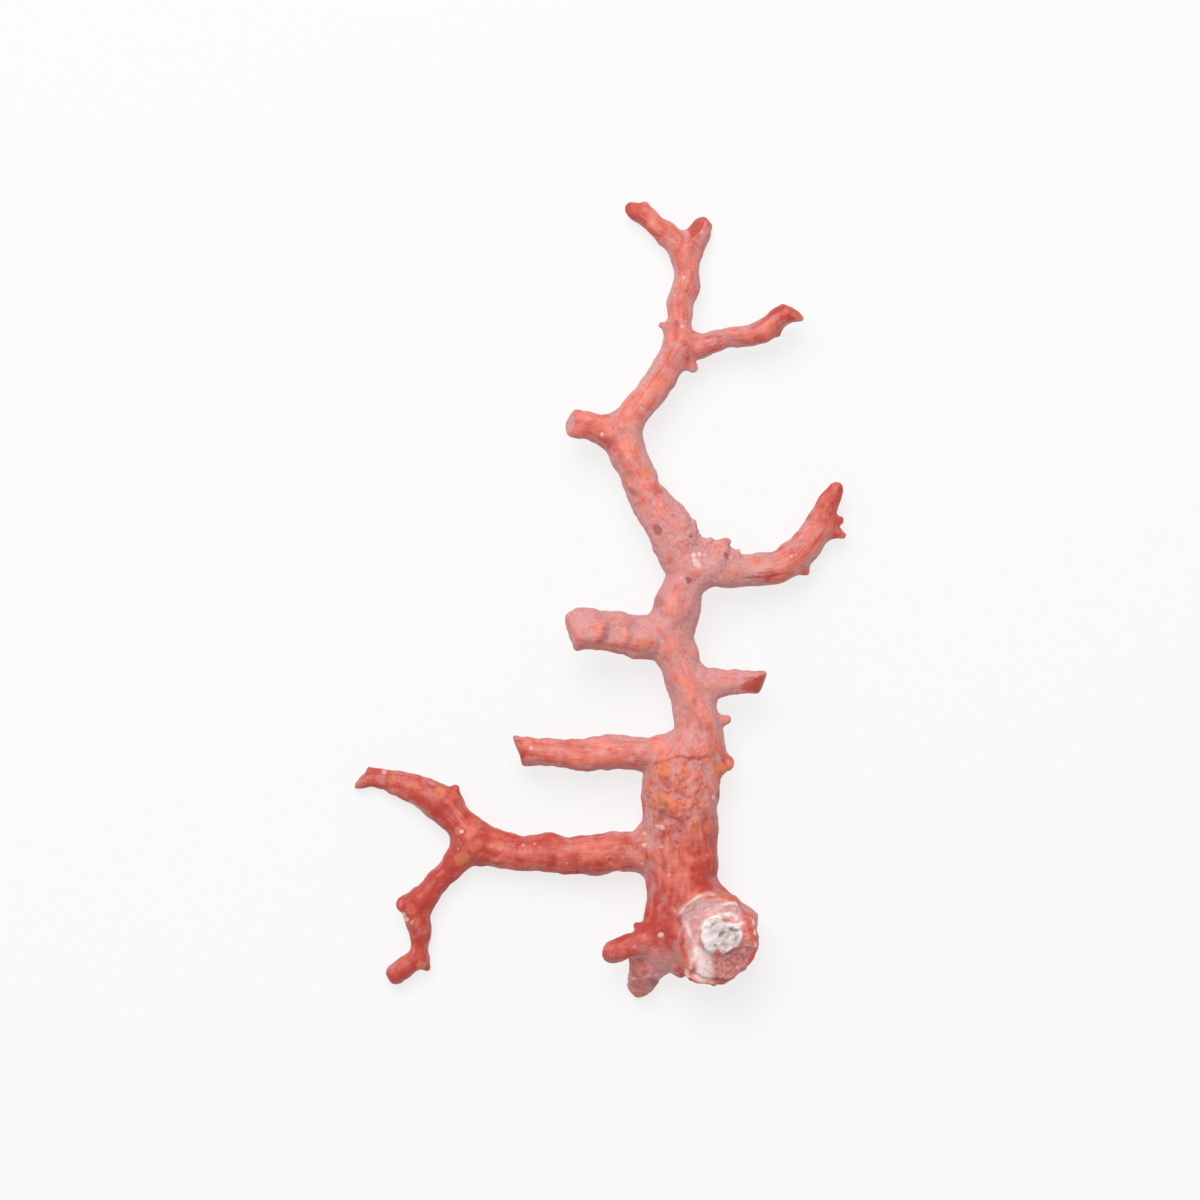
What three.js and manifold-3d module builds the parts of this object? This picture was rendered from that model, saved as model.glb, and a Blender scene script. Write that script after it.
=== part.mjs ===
// A branch of precious red coral, broken off its rock and lying on its back.
// Millimetres, +Z up. The branch grows along +Y and its low left limb reaches to -X.
// It rests on Z = 0 on its heel, on the tip of its low left limb and on its crown.
import * as THREE from "three";
import { mergeVertices } from "three/addons/utils/BufferGeometryUtils.js";
import Module from "manifold-3d";

const wasm = await Module();
wasm.setup();

// Driving sizes
const SEAM = 0.3; // gap between two limbs where the branch is parted at a fork
const FACETS_AROUND = 11; // facets round a limb of the thickness that its piece states
const LINE_STEPS = 3; // straight steps between two stations of a limb's line
const BREAK_ROUNDING = 0.35; // how softly a broken face meets the limb's side
const KNOB_FILLET = 0.9;
const BOX_MARGIN = 2; // how far a piece's box reaches past its limbs, besides two cells
const SAW_SIDES = 24;
const SETTLE = 0.2; // depth that is trimmed off below the stations' Z = 0, which leaves the resting flats
const FLOOR_BLOCK = 200;
const PULLS = 3; // times that a vertex is pulled onto the surface

// Low swellings all over, each as [wavelength, height]
const SWELLINGS = [
  [9.5, 0.16],
  [4.3, 0.11],
];

// Each limb is a round rod along a line of stations [x, y, z, radius]. Its fillet is how widely it
// runs into what it grows from, and each break is a plane that it was snapped or worn off at.
const LIMBS = {
  trunk: {
    fillet: 2.5,
    line: [
      [12.3, -52.0, 6.2, 5.3],
      [13.1, -47.2, 6.1, 5.6],
      [13.3, -42.4, 6.1, 5.6],
      [13.0, -37.6, 6.2, 5.8],
      [12.8, -32.8, 6.4, 6.1],
      [13.3, -28.8, 6.5, 6.1],
      [14.7, -25.1, 6.7, 5.1],
      [15.7, -21.6, 7.0, 4.0],
      [15.2, -17.6, 7.3, 3.6],
      [13.9, -13.6, 7.6, 3.2],
      [12.6, -9.6, 7.8, 3.2],
      [11.7, -5.9, 8.0, 3.1],
      [12.2, -1.9, 8.0, 3.8],
      [13.1, 1.3, 8.0, 3.4],
      [13.8, 4.3, 8.0, 3.0],
      [13.0, 7.7, 8.0, 3.8],
      [11.2, 11.2, 7.9, 3.8],
      [9.0, 14.6, 7.7, 3.4],
      [7.0, 17.6, 7.5, 2.8],
      [5.9, 20.6, 7.3, 2.8],
      [4.5, 23.7, 7.1, 3.1],
      [3.8, 26.9, 6.9, 2.9],
      [5.3, 29.8, 6.7, 2.4],
      [7.7, 32.8, 6.4, 2.5],
      [9.9, 35.8, 6.0, 2.4],
      [11.7, 38.9, 5.6, 2.5],
      [12.6, 41.6, 5.2, 2.6],
      [12.9, 44.8, 4.8, 2.0],
      [12.9, 47.7, 4.3, 2.0],
      [13.8, 50.9, 3.8, 2.1],
      [13.9, 54.1, 3.3, 2.2],
      [13.9, 56.5, 2.9, 2.5],
    ],
  },
  collar: {
    fillet: 1.5,
    line: [
      [16.2, -50.2, 6.5, 5.3],
      [18.6, -53.6, 9.5, 6.3],
      [18.8, -54.2, 14.5, 6.1],
    ],
    breaks: [{ at: [18.5, -54.2, 12.2], facing: [0.1, 0.05, 1] }],
  },
  collarSkirt: {
    fillet: 0.7,
    line: [
      [17.9, -55.9, 7.5, 5.3],
      [18.3, -56.3, 12.5, 4.9],
    ],
    breaks: [{ at: [20.5, -59.0, 10.2], facing: [0.35, -0.6, 0.72] }],
  },
  core: {
    fillet: 0.5,
    line: [
      [19.1, -53.4, 9.0, 4.3],
      [19.3, -53.3, 16.0, 3.9],
    ],
    breaks: [
      { at: [19.3, -53.2, 14.0], facing: [0.12, 0.1, 1] },
      { at: [20.6, -56.0, 12.4], facing: [0.3, -0.7, 0.65] },
    ],
  },
  heel: {
    fillet: 1.5,
    line: [
      [16.0, -50.4, 5.5, 5.1],
      [19.5, -52.4, 5.1, 5.25],
    ],
  },
  finger: {
    fillet: 1.0,
    line: [
      [10.4, -54.1, 7.0, 3.5],
      [6.4, -54.9, 7.8, 2.3],
      [2.4, -56.0, 8.0, 2.0],
    ],
  },
  stub: {
    fillet: 1.5,
    line: [
      [10.9, -55.2, 5.5, 4.2],
      [7.7, -58.6, 3.8, 3.1],
      [6.6, -61.6, 2.7, 2.2],
    ],
  },
  lowLeftStem: {
    fillet: 3.5,
    line: [
      [11.5, -40.3, 6.0, 3.2],
      [7.2, -40.3, 5.7, 3.2],
      [3.2, -40.3, 5.3, 3.1],
      [-0.3, -40.8, 5.0, 3.2],
      [-4.8, -41.0, 4.6, 3.0],
      [-9.6, -40.6, 4.2, 2.9],
      [-13.1, -40.6, 3.9, 2.8],
      [-16.8, -39.8, 3.6, 3.0],
      [-20.2, -38.6, 3.3, 2.9],
    ],
  },
  lowLeftUpperArm: {
    fillet: 2.0,
    line: [
      [-20.2, -38.6, 3.3, 2.9],
      [-23.0, -35.2, 3.3, 2.6],
      [-25.8, -32.5, 3.3, 2.8],
      [-29.0, -30.7, 3.0, 2.5],
      [-32.2, -29.6, 2.4, 2.0],
      [-35.2, -28.8, 1.9, 1.6],
      [-39.5, -28.5, 1.6, 1.85],
    ],
    breaks: [{ at: [-38.2, -28.3, 1.7], facing: [-0.83, 0.53, 0.15] }],
  },
  lowLeftLowerArm: {
    fillet: 1.6,
    line: [
      [-20.8, -39.7, 3.3, 2.6],
      [-23.2, -42.1, 3.3, 2.1],
      [-25.4, -44.5, 3.3, 1.8],
      [-27.5, -47.0, 3.2, 1.8],
      [-29.2, -50.0, 3.1, 2.3],
      [-28.9, -53.1, 2.9, 2.0],
      [-29.0, -55.5, 2.7, 1.5],
      [-29.6, -57.6, 2.5, 1.7],
      [-32.7, -59.8, 2.5, 1.75],
    ],
  },
  straightLeftBranch: {
    fillet: 1.0,
    line: [
      [14.4, -24.5, 6.8, 3.2],
      [9.6, -24.5, 6.9, 3.0],
      [6.4, -24.5, 7.0, 2.8],
      [2.4, -24.3, 7.0, 2.7],
      [-2.4, -24.6, 6.9, 2.6],
      [-6.1, -24.6, 6.7, 2.2],
      [-9.3, -24.3, 6.5, 2.2],
      [-15.0, -24.0, 6.3, 2.6],
    ],
    breaks: [{ at: [-13.3, -24.0, 6.3], facing: [-0.95, -0.3, 0.1] }],
  },
  shortRightTwig: {
    fillet: 1.6,
    line: [
      [14.4, -14.1, 7.5, 2.9],
      [17.9, -13.4, 7.9, 2.5],
      [20.8, -13.2, 8.2, 2.0],
      [23.2, -13.1, 8.4, 1.8],
      [26.8, -13.1, 8.6, 1.8],
    ],
    breaks: [
      { at: [26.0, -13.0, 8.6], facing: [0.88, -0.38, 0.2] },
      { at: [24.6, -13.9, 9.3], facing: [0.45, -0.45, 0.77] },
    ],
  },
  thickLeftBranch: {
    fillet: 2.0,
    line: [
      [10.3, -6.3, 8.2, 2.9],
      [7.2, -6.1, 8.6, 3.5],
      [3.2, -5.4, 9.6, 3.3],
      [0.0, -4.8, 10.6, 3.1],
      [-2.7, -4.6, 11.4, 3.4],
    ],
    breaks: [
      { at: [-5.2, -4.4, 11.6], facing: [-0.9, -0.3, 0.3] },
      { at: [-2.4, -3.4, 13.9], facing: [-0.25, 0.25, 0.93] },
    ],
  },
  longRightBranch: {
    fillet: 2.0,
    line: [
      [14.4, 5.3, 8.0, 3.2],
      [17.9, 5.4, 7.8, 3.4],
      [21.1, 4.8, 7.2, 2.8],
      [24.0, 4.6, 6.6, 2.5],
      [27.5, 5.0, 5.9, 2.6],
      [30.4, 6.2, 5.3, 2.6],
      [32.8, 8.5, 4.8, 2.5],
      [34.7, 11.1, 4.3, 2.5],
      [35.9, 13.9, 4.0, 2.0],
      [36.8, 15.8, 3.8, 1.6],
      [37.9, 17.8, 3.7, 1.25],
    ],
  },
  topLeftStub: {
    fillet: 2.0,
    line: [
      [3.0, 26.9, 7.0, 2.3],
      [0.8, 27.0, 7.3, 2.3],
      [-1.9, 27.7, 7.8, 2.2],
      [-6.0, 28.5, 8.5, 2.1],
    ],
    breaks: [{ at: [-4.7, 28.3, 8.3], facing: [-0.92, 0.17, 0.35] }],
  },
  topRightBranch: {
    fillet: 1.2,
    line: [
      [13.1, 40.6, 5.3, 2.2],
      [16.3, 40.8, 5.2, 2.1],
      [19.2, 41.6, 5.4, 1.7],
      [22.4, 42.2, 5.7, 1.6],
      [25.0, 42.6, 6.0, 1.7],
      [27.0, 43.7, 6.3, 1.8],
      [28.8, 45.3, 6.6, 1.6],
      [31.4, 46.6, 6.8, 1.5],
    ],
    breaks: [{ at: [30.4, 46.4, 6.8], facing: [0.62, 0.74, 0.25] }],
  },
  crownLeftTwig: {
    fillet: 1.2,
    line: [
      [13.4, 56.5, 2.9, 2.2],
      [11.5, 58.1, 2.8, 2.0],
      [9.0, 60.0, 2.6, 1.55],
      [7.5, 61.6, 2.4, 1.6],
      [5.9, 62.4, 2.2, 1.3],
      [5.0, 63.0, 2.1, 0.9],
    ],
  },
  crownRightStub: {
    fillet: 1.2,
    line: [
      [14.2, 56.5, 2.8, 2.3],
      [15.5, 58.4, 2.3, 2.1],
      [16.3, 60.0, 1.6, 1.65],
    ],
    breaks: [{ at: [15.2, 59.4, 3.2], facing: [-0.45, 0.72, 0.53] }],
  },
};

// Buds, spurs and warts along the limbs, each [x, y, z, radius]
const KNOBS = [
  [19.8, -19.2, 7.2, 1.2], // bud on the right of the trunk
  [20.0, -26.3, 6.9, 1.6], // spur above the crust
  [10.2, 43.8, 5.0, 1.3], // pointed spur below the crown
  [-3.3, -7.3, 10.9, 1.0], // lower corner of the thick left branch
  [14.5, 37.4, 5.6, 1.1], // shoulder under the top right branch
  [28.4, 42.8, 6.2, 0.7], // wart under its tip
  [31.7, 45.1, 6.8, 0.5], // shard at its tip
  [38.2, 10.4, 4.3, 1.1], // warts on the long right branch
  [38.0, 12.7, 4.1, 0.8],
  [32.7, 4.9, 5.2, 0.9],
  [19.6, 8.8, 8.3, 1.3], // crust on its root
  [21.8, 7.7, 8.0, 0.9],
  [17.2, 8.6, 8.6, 1.4],
  [11.6, 14.4, 8.0, 0.9], // warts on the upper trunk
  [14.3, 11.9, 8.2, 0.8],
  [-23.2, -30.6, 3.4, 1.1], // bud at the low left fork
  [-31.4, -48.9, 3.3, 1.5], // knee of the lower arm
  [-28.6, -58.6, 2.5, 1.2], // its club foot
  [-7.6, -37.8, 4.4, 1.1],
  [7.5, 63.1, 2.6, 0.7], // warts on the crown
  [17.6, 60.2, 1.7, 0.5],
  [5.6, -52.4, 6.8, 1.2], // ledge above the finger
  [13.0, -58.6, 6.5, 1.7], // below the collar
];

// Where the branch is parted: a thin disc across each limb, just off its fork
const SAW_CUTS = [
  { at: [13.2, -45.6, 6.1], along: [0, 1, 0], reach: 7.4 },
  { at: [15.7, -20.7, 7.1], along: [0, 1, -0.05], reach: 4.9 },
  { at: [13.0, 0.6, 8.0], along: [0.15, 1, 0], reach: 4.6 },
  { at: [4.7, 23.2, 7.1], along: [-0.41, 0.91, 0], reach: 4.2 },
  { at: [4.8, -40.2, 5.4], along: [-1, 0, -0.08], reach: 4.4 },
  { at: [-22.1, -36.4, 3.2], along: [-0.65, 0.77, -0.05], reach: 3.4 },
  { at: [-23.0, -41.8, 3.3], along: [-0.69, -0.72, 0], reach: 3.0 },
  { at: [5.4, -24.4, 7.0], along: [-1, 0, 0], reach: 3.5 },
  { at: [19.5, -13.4, 8.0], along: [1, 0.05, 0.1], reach: 3.0 },
  { at: [7.4, -5.8, 8.7], along: [-1, 0.05, 0.2], reach: 5.2 },
  { at: [18.6, 5.4, 7.7], along: [1, -0.05, -0.15], reach: 4.9 },
  { at: [0.2, 27.0, 7.3], along: [-1, 0.1, 0.12], reach: 3.2 },
  { at: [17.0, 41.0, 5.3], along: [0.98, 0.17, 0.05], reach: 3.0 },
  { at: [11.2, 58.3, 2.8], along: [-0.74, 0.67, -0.08], reach: 2.7 },
  { at: [15.2, 58.2, 2.5], along: [0.55, 0.83, -0.25], reach: 3.5 },
];

const REDS = { deep: 0xb8453a, red: 0xc4564a, salmon: 0xd37a6c, dusty: 0xcc8a80 };

// Each piece holds a stretch of one or more limbs, as [limb, first station, last station]
const PIECES = [
  {
    name: "foot",
    thickness: 3.3,
    colour: REDS.dusty,
    holds: [["trunk", 0, 2], ["collar"], ["collarSkirt"], ["core"], ["heel"], ["finger"], ["stub"]],
  },
  { name: "lower_trunk", thickness: 4.5, colour: REDS.red, holds: [["trunk", 1, 8]] },
  { name: "middle_trunk", thickness: 3.4, colour: REDS.salmon, holds: [["trunk", 7, 13]] },
  { name: "upper_trunk", thickness: 3.3, colour: REDS.salmon, holds: [["trunk", 12, 21]] },
  { name: "crown_stem", thickness: 2.6, colour: REDS.salmon, holds: [["trunk", 20, 31]] },
  { name: "crown_left_twig", thickness: 1.6, colour: REDS.red, holds: [["crownLeftTwig"]] },
  { name: "crown_right_stub", thickness: 1.9, colour: REDS.deep, holds: [["crownRightStub"]] },
  { name: "top_right_branch", thickness: 1.7, colour: REDS.red, holds: [["topRightBranch"]] },
  { name: "top_left_stub", thickness: 2.3, colour: REDS.salmon, holds: [["topLeftStub"]] },
  { name: "long_right_branch", thickness: 2.5, colour: REDS.red, holds: [["longRightBranch"]] },
  { name: "thick_left_branch", thickness: 3.2, colour: REDS.dusty, holds: [["thickLeftBranch"]] },
  { name: "short_right_twig", thickness: 1.9, colour: REDS.deep, holds: [["shortRightTwig"]] },
  { name: "straight_left_branch", thickness: 2.6, colour: REDS.red, holds: [["straightLeftBranch"]] },
  { name: "low_left_stem", thickness: 2.9, colour: REDS.deep, holds: [["lowLeftStem"]] },
  { name: "low_left_upper_arm", thickness: 2.1, colour: REDS.deep, holds: [["lowLeftUpperArm"]] },
  { name: "low_left_lower_arm", thickness: 1.8, colour: REDS.deep, holds: [["lowLeftLowerArm"]] },
];

const ROUGHNESS = 0.7;

// A smooth curve through the stations, as short straight rods whose radius changes evenly
function rodsOf(line) {
  const curve = (values) => new THREE.CatmullRomCurve3(values, false, "catmullrom", 0.5);
  const middle = curve(line.map(([x, y, z]) => new THREE.Vector3(x, y, z)));
  const width = curve(line.map((station) => new THREE.Vector3(station[3], 0, 0)));
  const steps = (line.length - 1) * LINE_STEPS;
  const ends = Array.from({ length: steps + 1 }, (_, i) => ({
    point: middle.getPoint(i / steps),
    radius: width.getPoint(i / steps).x,
  }));
  return ends.slice(1).map((end, i) => {
    const run = end.point.clone().sub(ends[i].point);
    return {
      start: ends[i].point,
      run,
      lengthSquared: run.lengthSq(),
      radius: ends[i].radius,
      growth: end.radius - ends[i].radius,
    };
  });
}

function boxRound(stations, margin) {
  const box = new THREE.Box3();
  for (const [x, y, z, radius] of stations)
    box.union(
      new THREE.Box3().setFromCenterAndSize(
        new THREE.Vector3(x, y, z),
        new THREE.Vector3().setScalar(2 * (radius + margin)),
      ),
    );
  return box;
}

const ORDER = Object.keys(LIMBS);
const shapes = ORDER.map((name) => {
  const { fillet, line, breaks = [] } = LIMBS[name];
  const planes = breaks.map(({ at, facing }) =>
    new THREE.Plane().setFromNormalAndCoplanarPoint(
      new THREE.Vector3(...facing).normalize(),
      new THREE.Vector3(...at),
    ),
  );
  return { fillet, rods: rodsOf(line), box: boxRound(line, fillet), planes };
});

// The lower of two distances, eased into each other over a width
function blend(a, b, width) {
  const share = THREE.MathUtils.clamp(0.5 + (0.5 * (b - a)) / width, 0, 1);
  return b + (a - b) * share - width * share * (1 - share);
}

const offset = new THREE.Vector3();

// How far a point is outside one limb
function limbDistance({ rods, planes }, point) {
  let nearest = Infinity;
  for (const { start, run, lengthSquared, radius, growth } of rods) {
    offset.subVectors(point, start);
    const share = THREE.MathUtils.clamp(offset.dot(run) / lengthSquared, 0, 1);
    offset.addScaledVector(run, -share);
    nearest = Math.min(nearest, offset.length() - radius - growth * share);
  }
  for (const plane of planes)
    nearest = -blend(-nearest, -plane.distanceToPoint(point), BREAK_ROUNDING);
  return nearest;
}

function swelling({ x, y, z }) {
  let height = 0;
  for (const [wave, rise] of SWELLINGS) {
    const k = (2 * Math.PI) / wave;
    height +=
      rise *
      (Math.sin(k * x + 0.9 * Math.sin(0.6 * k * z)) * Math.cos(0.83 * k * y + 1.1 * Math.sin(0.7 * k * x)) +
        0.6 * Math.sin(1.27 * k * z + 0.4 * k * x) * Math.cos(0.6 * k * y));
  }
  return height;
}

// How far a point is outside the whole branch: negative inside it
function coral(point) {
  let distance = 99;
  for (const shape of shapes)
    if (shape.box.distanceToPoint(point) < distance)
      distance = blend(distance, limbDistance(shape, point), shape.fillet);
  for (const [x, y, z, radius] of KNOBS) {
    const reach = offset.set(x, y, z).distanceTo(point) - radius;
    if (reach < distance + KNOB_FILLET) distance = blend(distance, reach, KNOB_FILLET);
  }
  return distance - swelling(point);
}

// Moves a point onto the surface, down the steepest slope of the distance
function pullToSurface(point, slack) {
  const probe = 0.02;
  const slope = new THREE.Vector3();
  const beside = new THREE.Vector3();
  for (let i = 0; i < PULLS; i++) {
    for (let axis = 0; axis < 3; axis++) {
      const step = beside.copy(point).setComponent(axis, point.getComponent(axis) + probe);
      const ahead = coral(step);
      step.setComponent(axis, point.getComponent(axis) - probe);
      slope.setComponent(axis, (ahead - coral(step)) / (2 * probe));
    }
    const drop = THREE.MathUtils.clamp(coral(point), -slack, slack);
    point.addScaledVector(slope, -drop / Math.max(slope.lengthSq(), 0.25));
  }
}

// A corner of a cell is a number whose three bits are its places along x, y and z. The twelve edges
// are pairs of corners, four along each axis, and the six faces are rounds of four corners.
const bitOf = (corner, axis) => (corner >> axis) & 1;
const CORNER_BITS = [0, 1, 2, 3, 4, 5, 6, 7].map((corner) => [0, 1, 2].map((axis) => bitOf(corner, axis)));
const CELL_EDGES = [];
for (let corner = 0; corner < 8; corner++)
  for (const step of [1, 2, 4])
    if (!(corner & step)) CELL_EDGES[edgeBetween(corner, corner | step)] = [corner, corner | step];
const CELL_FACES = [0, 1, 2].flatMap((axis) => {
  const [u, v] = [1 << ((axis + 1) % 3), 1 << ((axis + 2) % 3)];
  return [0, 1 << axis].map((side) => [side, side | u, side | u | v, side | v]);
});

function edgeBetween(a, b) {
  const axis = (a ^ b) >> 1;
  return 4 * axis + bitOf(a, (axis + 1) % 3) + 2 * bitOf(a, (axis + 2) % 3);
}

// Groups the edges of a cell that the surface crosses, one group for each sheet of surface in it.
// Where a face is crossed four times, the corners that differ from its middle are cut off.
function sheetsOf(values) {
  const sheet = CELL_EDGES.map((_, edge) => edge);
  const join = (a, b) => {
    const [from, to] = [sheet[a], sheet[b]];
    sheet.forEach((label, edge) => {
      if (label === from) sheet[edge] = to;
    });
  };
  const isCrossed = ([a, b]) => values[a] < 0 !== values[b] < 0;
  for (const face of CELL_FACES) {
    const sides = face.map((corner, n) => [corner, face[(n + 1) % 4]]).filter(isCrossed);
    const edges = sides.map(([a, b]) => edgeBetween(a, b));
    if (edges.length === 2) join(...edges);
    if (edges.length === 4) {
      const middleIsInside = face.reduce((sum, corner) => sum + values[corner], 0) < 0;
      const first = values[face[1]] < 0 === middleIsInside ? 1 : 0;
      join(edges[first], edges[first + 1]);
      join(edges[first + 2], edges[(first + 3) % 4]);
    }
  }
  const crossed = CELL_EDGES.map((_, edge) => edge).filter((edge) => isCrossed(CELL_EDGES[edge]));
  return [...new Set(crossed.map((edge) => sheet[edge]))].map((label) =>
    crossed.filter((edge) => sheet[edge] === label),
  );
}

// The mean of the places where one sheet crosses the edges of a cell, from the cell's corner 0
function middleOfSheet(values, edges) {
  const middle = new THREE.Vector3();
  const place = (corner) => new THREE.Vector3(bitOf(corner, 0), bitOf(corner, 1), bitOf(corner, 2));
  for (const edge of edges) {
    const [a, b] = CELL_EDGES[edge];
    middle.add(place(a).lerp(place(b), values[a] / (values[a] - values[b])));
  }
  return middle.divideScalar(edges.length);
}

// The surface inside a box as a closed mesh: one vertex for each sheet of surface in each cell, and
// one square across each edge of the grid that the surface crosses.
function skinInBox(box, cell) {
  const counts = box.getSize(new THREE.Vector3()).toArray().map((length) => Math.ceil(length / cell) + 1);
  const [nx, ny, nz] = counts;
  const strides = [1, nx, nx * ny];
  const outside = new Float32Array(nx * ny * nz);
  const vertexOf = new Int32Array(12 * nx * ny * nz);
  const vertices = [];
  const triangles = [];
  const point = new THREE.Vector3();
  const isRim = (place) => place.some((step, axis) => step < 1 || step > counts[axis] - 2);

  const eachPlace = (last, visit) => {
    for (let k = 0; k <= nz - last; k++)
      for (let j = 0; j <= ny - last; j++)
        for (let i = 0; i <= nx - last; i++) visit([i, j, k], i + j * nx + k * nx * ny);
  };

  eachPlace(1, (place, here) => {
    point.set(...place).multiplyScalar(cell).add(box.min);
    outside[here] = isRim(place) ? cell : coral(point);
  });

  eachPlace(2, (place, here) => {
    const values = CORNER_BITS.map((bits) => outside[here + bits.reduce((sum, bit, n) => sum + bit * strides[n], 0)]);
    if (values.every((value) => value < 0) || values.every((value) => value >= 0)) return;
    const atRim = isRim(place) || isRim(place.map((step) => step + 1));
    for (const edges of sheetsOf(values)) {
      const vertex = middleOfSheet(values, edges);
      vertex.add(point.set(...place)).multiplyScalar(cell).add(box.min);
      if (!atRim) pullToSurface(vertex, 0.5 * cell);
      for (const edge of edges) vertexOf[12 * here + edge] = vertices.length;
      vertices.push(vertex);
    }
  });

  eachPlace(2, (place, here) => {
    for (let axis = 0; axis < 3; axis++) {
      const isInside = outside[here] < 0;
      if (isInside === outside[here + strides[axis]] < 0) continue;
      const [u, v] = [strides[(axis + 1) % 3], strides[(axis + 2) % 3]];
      const round = [[0, 0], [1, 0], [1, 1], [0, 1]].map(
        ([du, dv]) => vertexOf[12 * (here - du * u - dv * v) + 4 * axis + du + 2 * dv],
      );
      const [a, b, c, d] = isInside ? round : round.reverse();
      const apart = (p, q) => vertices[p].distanceTo(vertices[q]);
      triangles.push(...(apart(a, c) < apart(b, d) ? [a, b, c, a, c, d] : [a, b, d, b, c, d]));
    }
  });
  return solidFrom(new Float32Array(vertices.flatMap((vertex) => vertex.toArray())), new Uint32Array(triangles));
}

function solidFrom(vertProperties, triVerts) {
  return new wasm.Manifold(new wasm.Mesh({ numProp: 3, vertProperties, triVerts }));
}

function solidOfGeometry(geometry) {
  geometry.deleteAttribute("normal");
  geometry.deleteAttribute("uv");
  const merged = mergeVertices(geometry);
  return solidFrom(merged.attributes.position.array, new Uint32Array(merged.index.array));
}

function sawBlade({ at, along, reach }) {
  const disc = new THREE.CylinderGeometry(reach, reach, SEAM, SAW_SIDES);
  const turn = new THREE.Quaternion().setFromUnitVectors(
    new THREE.Vector3(0, 1, 0),
    new THREE.Vector3(...along).normalize(),
  );
  return solidOfGeometry(disc.applyQuaternion(turn).translate(...at));
}

function belowFloor() {
  const block = new THREE.BoxGeometry(FLOOR_BLOCK, FLOOR_BLOCK, FLOOR_BLOCK);
  return solidOfGeometry(block.translate(0, 0, SETTLE - FLOOR_BLOCK / 2));
}

const trimmings = wasm.Manifold.union([...SAW_CUTS.map(sawBlade), belowFloor()]);

function stationsHeld(holds) {
  return holds.flatMap(([limb, first = 0, last = Infinity]) => LIMBS[limb].line.slice(first, last + 1));
}

// The body among several that comes closest to a point on the middle line of a limb
function bodyNearest(bodies, [x, y, z]) {
  const distanceTo = (body) => {
    const { vertProperties, numProp } = body.getMesh();
    let nearest = Infinity;
    for (let i = 0; i < vertProperties.length; i += numProp)
      nearest = Math.min(
        nearest,
        Math.hypot(vertProperties[i] - x, vertProperties[i + 1] - y, vertProperties[i + 2] - z),
      );
    return nearest;
  };
  return bodies.reduce((best, body) => (distanceTo(body) < distanceTo(best) ? body : best));
}

function pieceSolid({ thickness, holds }) {
  const stations = stationsHeld(holds);
  const cell = (2 * Math.PI * thickness) / FACETS_AROUND;
  const box = boxRound(stations, BOX_MARGIN + 2 * cell);
  const bodies = skinInBox(box, cell).subtract(trimmings).decompose();
  const inner = stations.slice(0, stationsHeld([holds[0]]).length);
  return bodyNearest(bodies, inner[Math.floor(inner.length / 2)]);
}

function meshOf({ name, colour }, solid) {
  const { vertProperties, triVerts } = solid.getMesh();
  const geometry = new THREE.BufferGeometry()
    .setAttribute("position", new THREE.BufferAttribute(vertProperties, 3))
    .setIndex(new THREE.BufferAttribute(triVerts, 1));
  geometry.computeVertexNormals();
  const material = new THREE.MeshStandardMaterial({ color: colour, roughness: ROUGHNESS, metalness: 0 });
  const mesh = new THREE.Mesh(geometry, material);
  mesh.name = name;
  return mesh;
}

// The branch is set down with the middle of its outline on the origin
const branch = new THREE.Group();
for (const piece of PIECES) branch.add(meshOf(piece, pieceSolid(piece)));
const middle = new THREE.Box3().setFromObject(branch).getCenter(new THREE.Vector3());
branch.position.set(-middle.x, -middle.y, -SETTLE);

export default branch;
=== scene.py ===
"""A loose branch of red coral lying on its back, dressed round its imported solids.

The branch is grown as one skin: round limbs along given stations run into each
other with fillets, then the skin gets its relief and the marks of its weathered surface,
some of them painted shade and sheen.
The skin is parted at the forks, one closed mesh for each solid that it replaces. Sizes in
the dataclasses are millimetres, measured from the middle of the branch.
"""

from __future__ import annotations

import logging
import math
from dataclasses import dataclass, field
from enum import Enum
from typing import Any

import bmesh
import bpy
import numpy as np
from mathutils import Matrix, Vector


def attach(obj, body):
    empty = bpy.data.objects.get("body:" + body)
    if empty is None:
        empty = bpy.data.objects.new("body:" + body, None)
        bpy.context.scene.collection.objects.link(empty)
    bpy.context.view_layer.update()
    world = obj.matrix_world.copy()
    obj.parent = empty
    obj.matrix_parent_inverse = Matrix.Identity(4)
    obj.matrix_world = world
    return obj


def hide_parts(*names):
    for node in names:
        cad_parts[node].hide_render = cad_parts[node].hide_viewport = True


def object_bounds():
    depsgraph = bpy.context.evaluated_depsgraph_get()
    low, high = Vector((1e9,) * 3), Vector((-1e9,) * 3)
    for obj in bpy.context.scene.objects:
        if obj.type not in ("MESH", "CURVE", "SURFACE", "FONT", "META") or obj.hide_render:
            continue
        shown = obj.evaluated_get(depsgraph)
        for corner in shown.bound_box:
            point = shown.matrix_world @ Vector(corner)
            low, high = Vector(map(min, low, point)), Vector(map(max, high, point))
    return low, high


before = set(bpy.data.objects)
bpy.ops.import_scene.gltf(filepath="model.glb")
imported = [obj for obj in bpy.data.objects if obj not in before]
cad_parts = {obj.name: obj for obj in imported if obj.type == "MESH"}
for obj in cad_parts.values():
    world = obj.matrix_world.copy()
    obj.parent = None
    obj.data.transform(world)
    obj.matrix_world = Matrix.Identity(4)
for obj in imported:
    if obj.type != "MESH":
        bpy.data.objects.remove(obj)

CAD_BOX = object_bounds()
MM = 0.001
FAR = 99.0
TINY = 1e-9

Point = tuple[float, float, float]
Outline = tuple[tuple[float, float], ...]
Station = tuple[float, float, float, float]
Colour = tuple[float, float, float, float]

log = logging.getLogger("coral")


class Slot(Enum):
    """The record's material slots."""

    SALMON = "salmon_coral"
    RED = "red_coral"
    FOOT = "foot_coral"


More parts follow.
